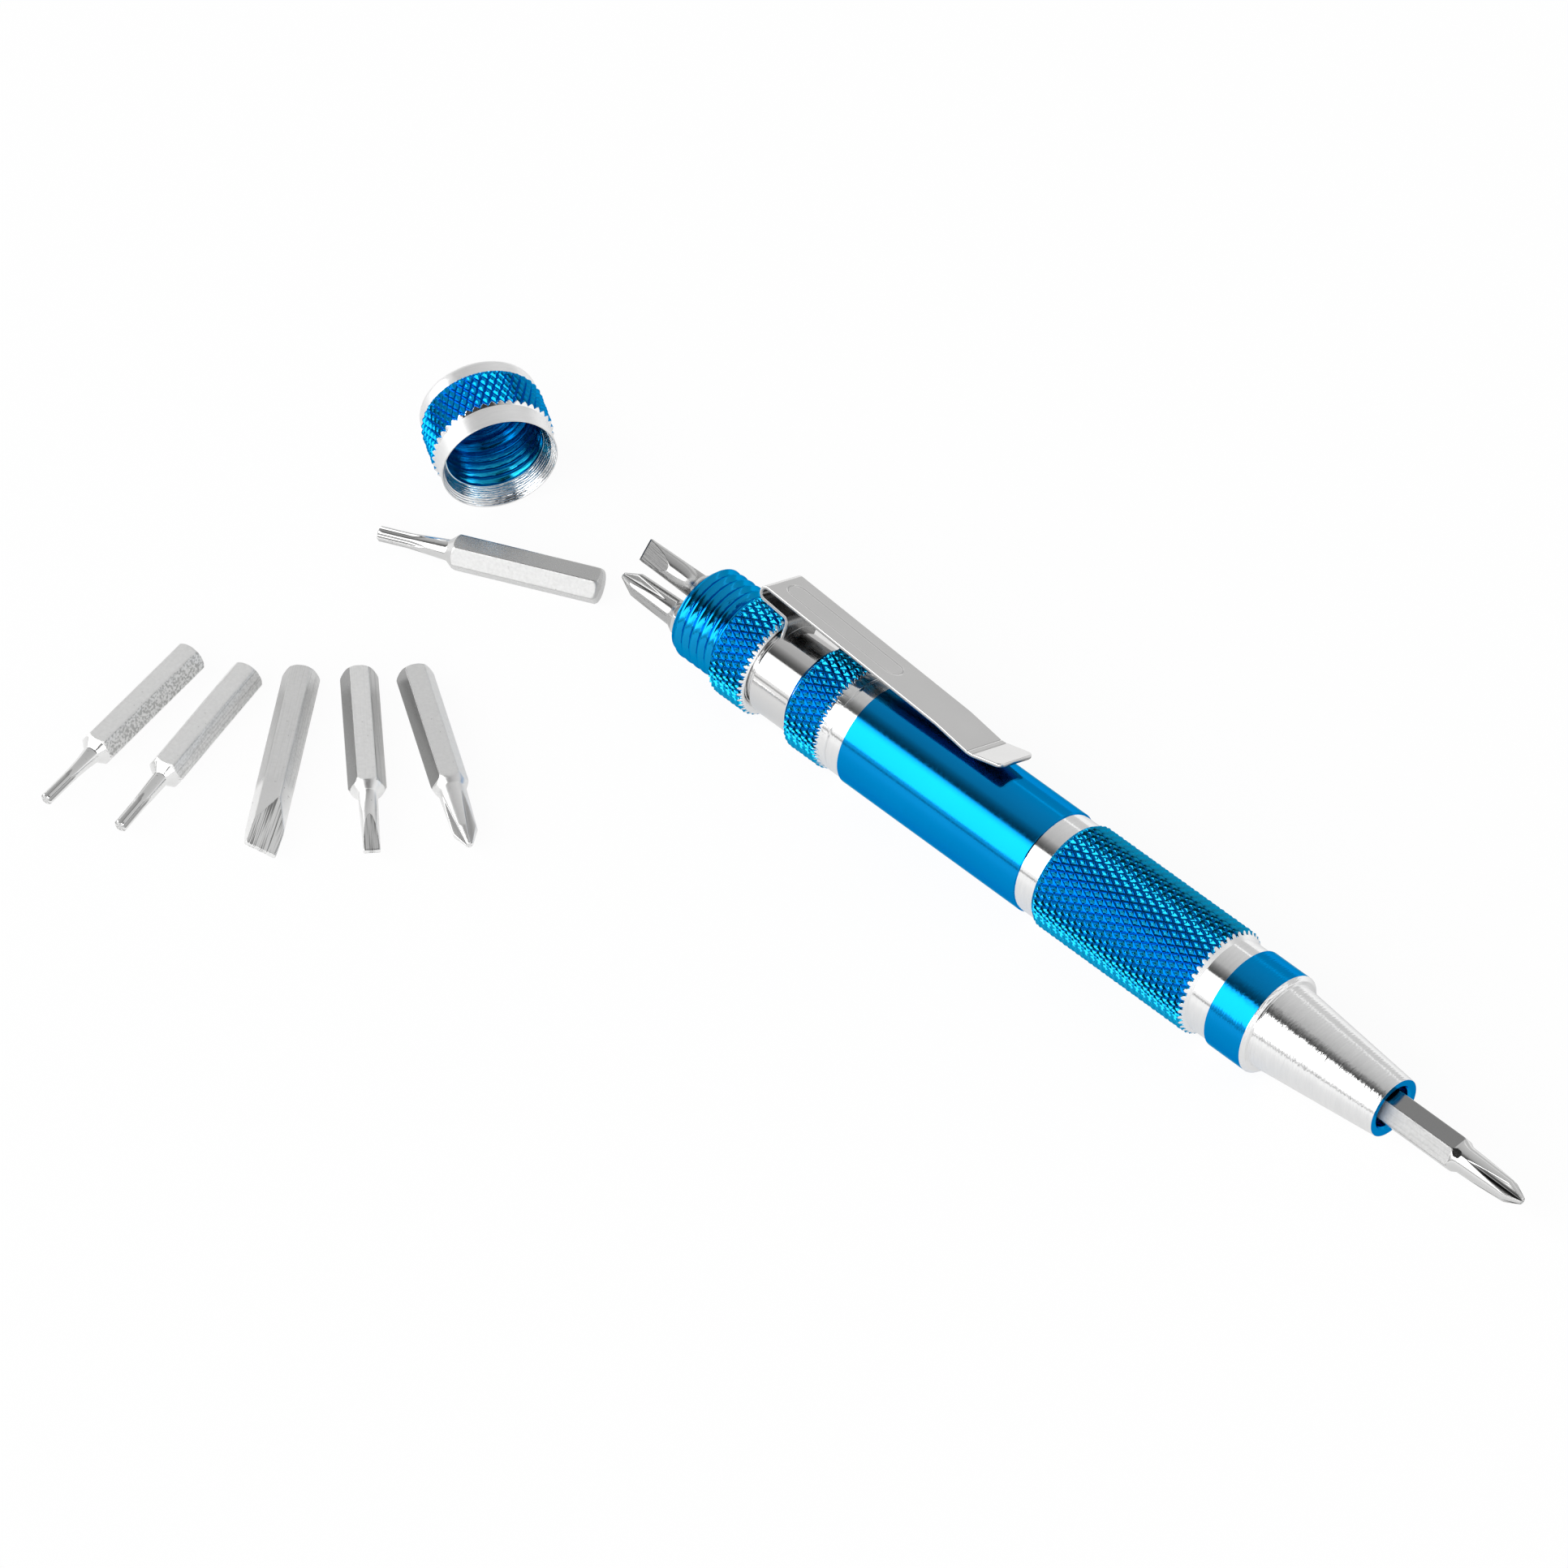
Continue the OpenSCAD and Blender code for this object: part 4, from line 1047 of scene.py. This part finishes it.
def blade_tip(width, turn, ground_face_shade):
    """A flat blade on a round neck; its last argument is how dark the painted shade on its two ground faces is.
    """
    root_r = min(width / 2 + BLADE_FLARE, BIT_AF / 2)

    def radius(z):
        round_r = np.full(BIT_COLUMNS, np.interp(z, [HEX_LEN, BIT_LEN], [root_r, width / 2]))
        ground = grind(z, BLADE_GROUND, width, turn)
        cut = (ground < round_r).astype(float)
        # painted shade on the two ground faces
        return smooth_min(round_r, ground, TIP_BLEND), cut, ground_face_shade * cut
    runout = BIT_LEN - BLADE_GROUND
    rows = [NECK_FROM, *joined_rows([runout - BLADE_RUNOUT, runout + BLADE_RUNOUT, BIT_LEN], BLADE_ROWS)]
    return radius, rows, root_r, turn


def full_blade_tip(turn):
    """A blade ground from the whole hexagon."""
    full = hexagon()

    def radius(z):
        ground = grind(z, BLADE_FULL_GROUND, 2 * BIT_CORNER_R, turn)
        return smooth_min(full, ground, TIP_BLEND), (ground < full).astype(float), BIT_NONE
    rows = [HEX_LEN, NECK_FROM, *np.linspace(NECK_FROM + FLAT_LEAD, BIT_LEN, BLADE_FULL_ROWS)]
    return radius, rows, None, turn


def bit_shell(tip, finish, place):
    """A whole bit from its tip, with its finish, placed in the frame."""
    radius, front_rows, neck_r, turn = tip
    rows = [(0.0, shank_radius(0, BIT_CORNER_R) * share, BIT_NONE, BIT_NONE) for share in BACK_FACE]
    back = BIT_ROUND * (1 - np.cos(np.linspace(0, math.pi / 2, ROUND_ROWS)))
    shank = [*back, BIT_ROUND + SUPPORT, HEX_LEN / 2, HEX_LEN - FLAT_LEAD]
    if neck_r is not None:
        shank += list(np.linspace(HEX_LEN - SHOULDER_LEAD, NECK_FROM - RING_APART, SHOULDER_ROWS))
    for z in shank:
        r = shank_radius(z, BIT_CORNER_R if neck_r is None else neck_r)
        rows.append((z, r if z <= HEX_LEN else smooth_max(r, radius(z)[0], TIP_BLEND), BIT_NONE, BIT_NONE))
    rows += [(z, *radius(z)) for z in front_rows]
    tip_r, cut, shade = radius(BIT_LEN)
    rows += [(BIT_LEN, tip_r * share, cut, shade) for share in TIP_FACE]
    heights, r, ground, dark = [np.array(values) for values in zip(*rows)]
    z = heights[:, None] * np.ones(BIT_COLUMNS)
    local = np.stack([r * np.cos(PHI), r * np.sin(PHI), z], axis=-1)
    flat_at = np.round(PHI / (TURN / 6)).astype(int) % 6
    on_flat = z < HEX_LEN + FLAT_LEAD

    def by_flat(values, on_tip):
        return np.where(on_flat, np.array(values)[flat_at], on_tip)
    # tone holds painted shade: set per flat, and darkened further by dark, the painted shade of flutes, grooves
    # and ground faces
    fields = {"rough": by_flat(finish.rough, finish.tip_rough),
              "ground": np.maximum(ground, by_flat(finish.lines, 0.0)),
              "mottle": by_flat(finish.mottle, 0.0),
              "tone": by_flat(finish.tone, finish.tip_tone) * (1 - dark)}
    across = BIT_AF / 2 * PHI
    if turn is not None:
        across = np.where(fields["ground"] > GROUND_FACE, r * np.sin(PHI - math.radians(turn)), across)
    lay = np.stack([across * np.ones_like(r), np.zeros_like(r), z], axis=-1)
    return shell(place(local), {"local": local, "lay": lay, **fields})


def laid(x, y, direction):
    """Lays a bit on the ground from its back end, pointing along direction."""
    c, s = math.cos(math.radians(direction)), math.sin(math.radians(direction))

    def place(p):
        along, across, down = p[..., 2], p[..., 1], p[..., 0]
        return np.stack([x + along * c - across * s, y + along * s + across * c,
                         GROUND_Z + BIT_AF / 2 - down], axis=-1)
    return place


def stored(turn, out):
    """Stands a bit in the store, so that its tip reaches out of the tail."""
    c, s = math.cos(math.radians(turn)), math.sin(math.radians(turn))

    def place(p):
        y, z = p[..., 1], p[..., 0]
        return np.stack([X_TAIL - out + BIT_LEN - p[..., 2], STORE_OFFSET * c + y * c - z * s,
                         STORE_OFFSET * s + y * s + z * c], axis=-1)
    return place


def chucked():
    """Holds a bit in the nose."""
    return lambda p: np.stack([X_BIT_SEAT + p[..., 2], p[..., 1], -p[..., 0]], axis=-1)


def build_bits(material):
    tips = {"cross": cross_tip, "star": star_tip, "blade": blade_tip, "full_blade": full_blade_tip}
    places = {"chuck": chucked, "store": stored, "ground": laid}
    bodies = {node: body for body, nodes in frame["record"]["behaviour"]["bodies"].items() for node in nodes}
    for node, (tip, sizes, place, at) in BITS.items():
        made = bit_shell(tips[tip](*sizes), BIT_FINISHES[node], places[place](*at))
        piece("steel_" + node, [made], material, bodies[node], [node])


def dress_inner_nodes():
    for node, finish in INNER_FINISHES.items():
        materials = frame["nodes"][node].data.materials
        materials.clear()
        materials.append(inner_finish(*finish))


def glow(name, axis, stops, level):
    """A card's own light: strengths at places along one axis of the scene, in metres."""
    g = new_material(name)
    first, last = stops[0][0], stops[-1][0]
    ramp = g.node("ShaderNodeValToRGB", {"Fac": g.between(g.position(axis), first, last, 0.0, 1.0)})
    marks = ramp.color_ramp.elements
    for k, (at, strength) in enumerate(stops):
        part = (at - first) / (last - first)
        mark = marks[k] if k == 0 else marks[-1] if k == len(stops) - 1 else marks.new(part)
        mark.position = part
        mark.color = (strength, strength, strength, 1)
    strength = g.math("MULTIPLY", ramp.outputs["Color"], level)
    return g.surface(g.node("ShaderNodeEmission", {"Strength": strength}).outputs[0])


def sheet(name, corners, material):
    """A flat sheet of the studio."""
    mesh = bpy.data.meshes.new(name)
    mesh.from_pydata(corners, [], [[0, 1, 2, 3]])
    mesh.materials.append(material)
    made = linked(name, mesh)
    return made


def card(name, corners, material, lights_floor=True):
    """A sheet unseen by the camera, that casts no shadow."""
    made = sheet(name, corners, material)
    made.visible_camera = False
    made.visible_shadow = False
    made.visible_diffuse = lights_floor


def view_axes():
    """Directions back to the camera, to its right and up."""
    azimuth, elevation = math.radians(VIEW_AZIMUTH), math.radians(VIEW_ELEVATION)
    back = Vector((math.sin(azimuth) * math.cos(elevation), -math.cos(azimuth) * math.cos(elevation),
                   math.sin(elevation)))
    right = Vector((math.cos(azimuth), math.sin(azimuth), 0))
    return back, right, back.cross(right)


def build_cards():
    low, high = CARD_REACH
    for name, (a, b, axis, stops, level) in LONG_CARDS.items():
        corners = [(low, *a), (low, *b), (high, *b), (high, *a)]
        card(name, corners, glow(name + "_glow", axis, stops, level))
    back, right, up = view_axes()
    corners = [tuple(back * CAMERA_CARD_AT + (right * u + up * v) * CAMERA_CARD) for u, v in SQUARE]
    card("camera_side", corners, glow("camera_side_glow", "Y", CAMERA_CARD_STOPS, 1.0), lights_floor=False)


def build_floor():
    g = new_material("white_floor")
    path = g.node("ShaderNodeLightPath", {}).outputs
    # painted shade: mirrors see the floor darker along the barrel's line, standing in for its shadow
    mirrored_floor_shade = g.between(g.math("ABSOLUTE", g.position("Y")), 0.0, FLOOR_SHADE_REACH, -FLOOR_SHADE, 0.0)
    level = g.math("MULTIPLY_ADD", path["Is Glossy Ray"], mirrored_floor_shade, 1.0)
    seen = g.math("MULTIPLY", path["Is Camera Ray"], FLOOR_SEEN_WHITE)
    share = g.math("MULTIPLY_ADD", path["Is Glossy Ray"], FLOOR_MIRRORED_WHITE, seen)
    paint = g.node("ShaderNodeBsdfDiffuse", {"Color": FLOOR_PAINT}).outputs[0]
    white = g.node("ShaderNodeEmission", {"Strength": level}).outputs[0]
    both = g.node("ShaderNodeMixShader", {0: share, 1: paint, 2: white}).outputs[0]
    sheet("floor", [(u * FLOOR_REACH, v * FLOOR_REACH, GROUND_Z * MM) for u, v in SQUARE], g.surface(both))


def build_world():
    world = bpy.data.worlds.new("white_room")
    bpy.context.scene.world = world
    g = Graph(world)
    path = g.node("ShaderNodeLightPath", {}).outputs
    seen = g.math("MAXIMUM", path["Is Camera Ray"], path["Is Glossy Ray"])
    seen = g.math("MAXIMUM", seen, path["Is Transmission Ray"])
    strength = g.between(seen, 0.0, 1.0, WORLD_LIGHT, WORLD_SEEN)
    g.put(g.tree.nodes["Background"], {"Color": WHITE, "Strength": strength})


def build_camera():
    back, _, _ = view_axes()
    data = bpy.data.cameras.new("photo_view")
    data.lens = VIEW_LENS
    data.sensor_width = SENSOR
    data.clip_start, data.clip_end = CLIP_RANGE
    camera = linked("photo_view", data)
    camera.location = (Vector(VIEW_TARGET) + back * VIEW_DISTANCE) * MM
    camera.rotation_mode = "QUATERNION"
    camera.rotation_quaternion = (-back).to_track_quat("-Z", "Y")
    bpy.context.scene.camera = camera


turned = turned_finish()
build_barrel(turned)
build_nose(turned)
build_cap(turned)
build_clip(chrome_finish())
build_bits(steel_finish())
dress_inner_nodes()
build_cards()
build_floor()
build_world()
build_camera()
bpy.context.scene.view_settings.view_transform = "Standard"
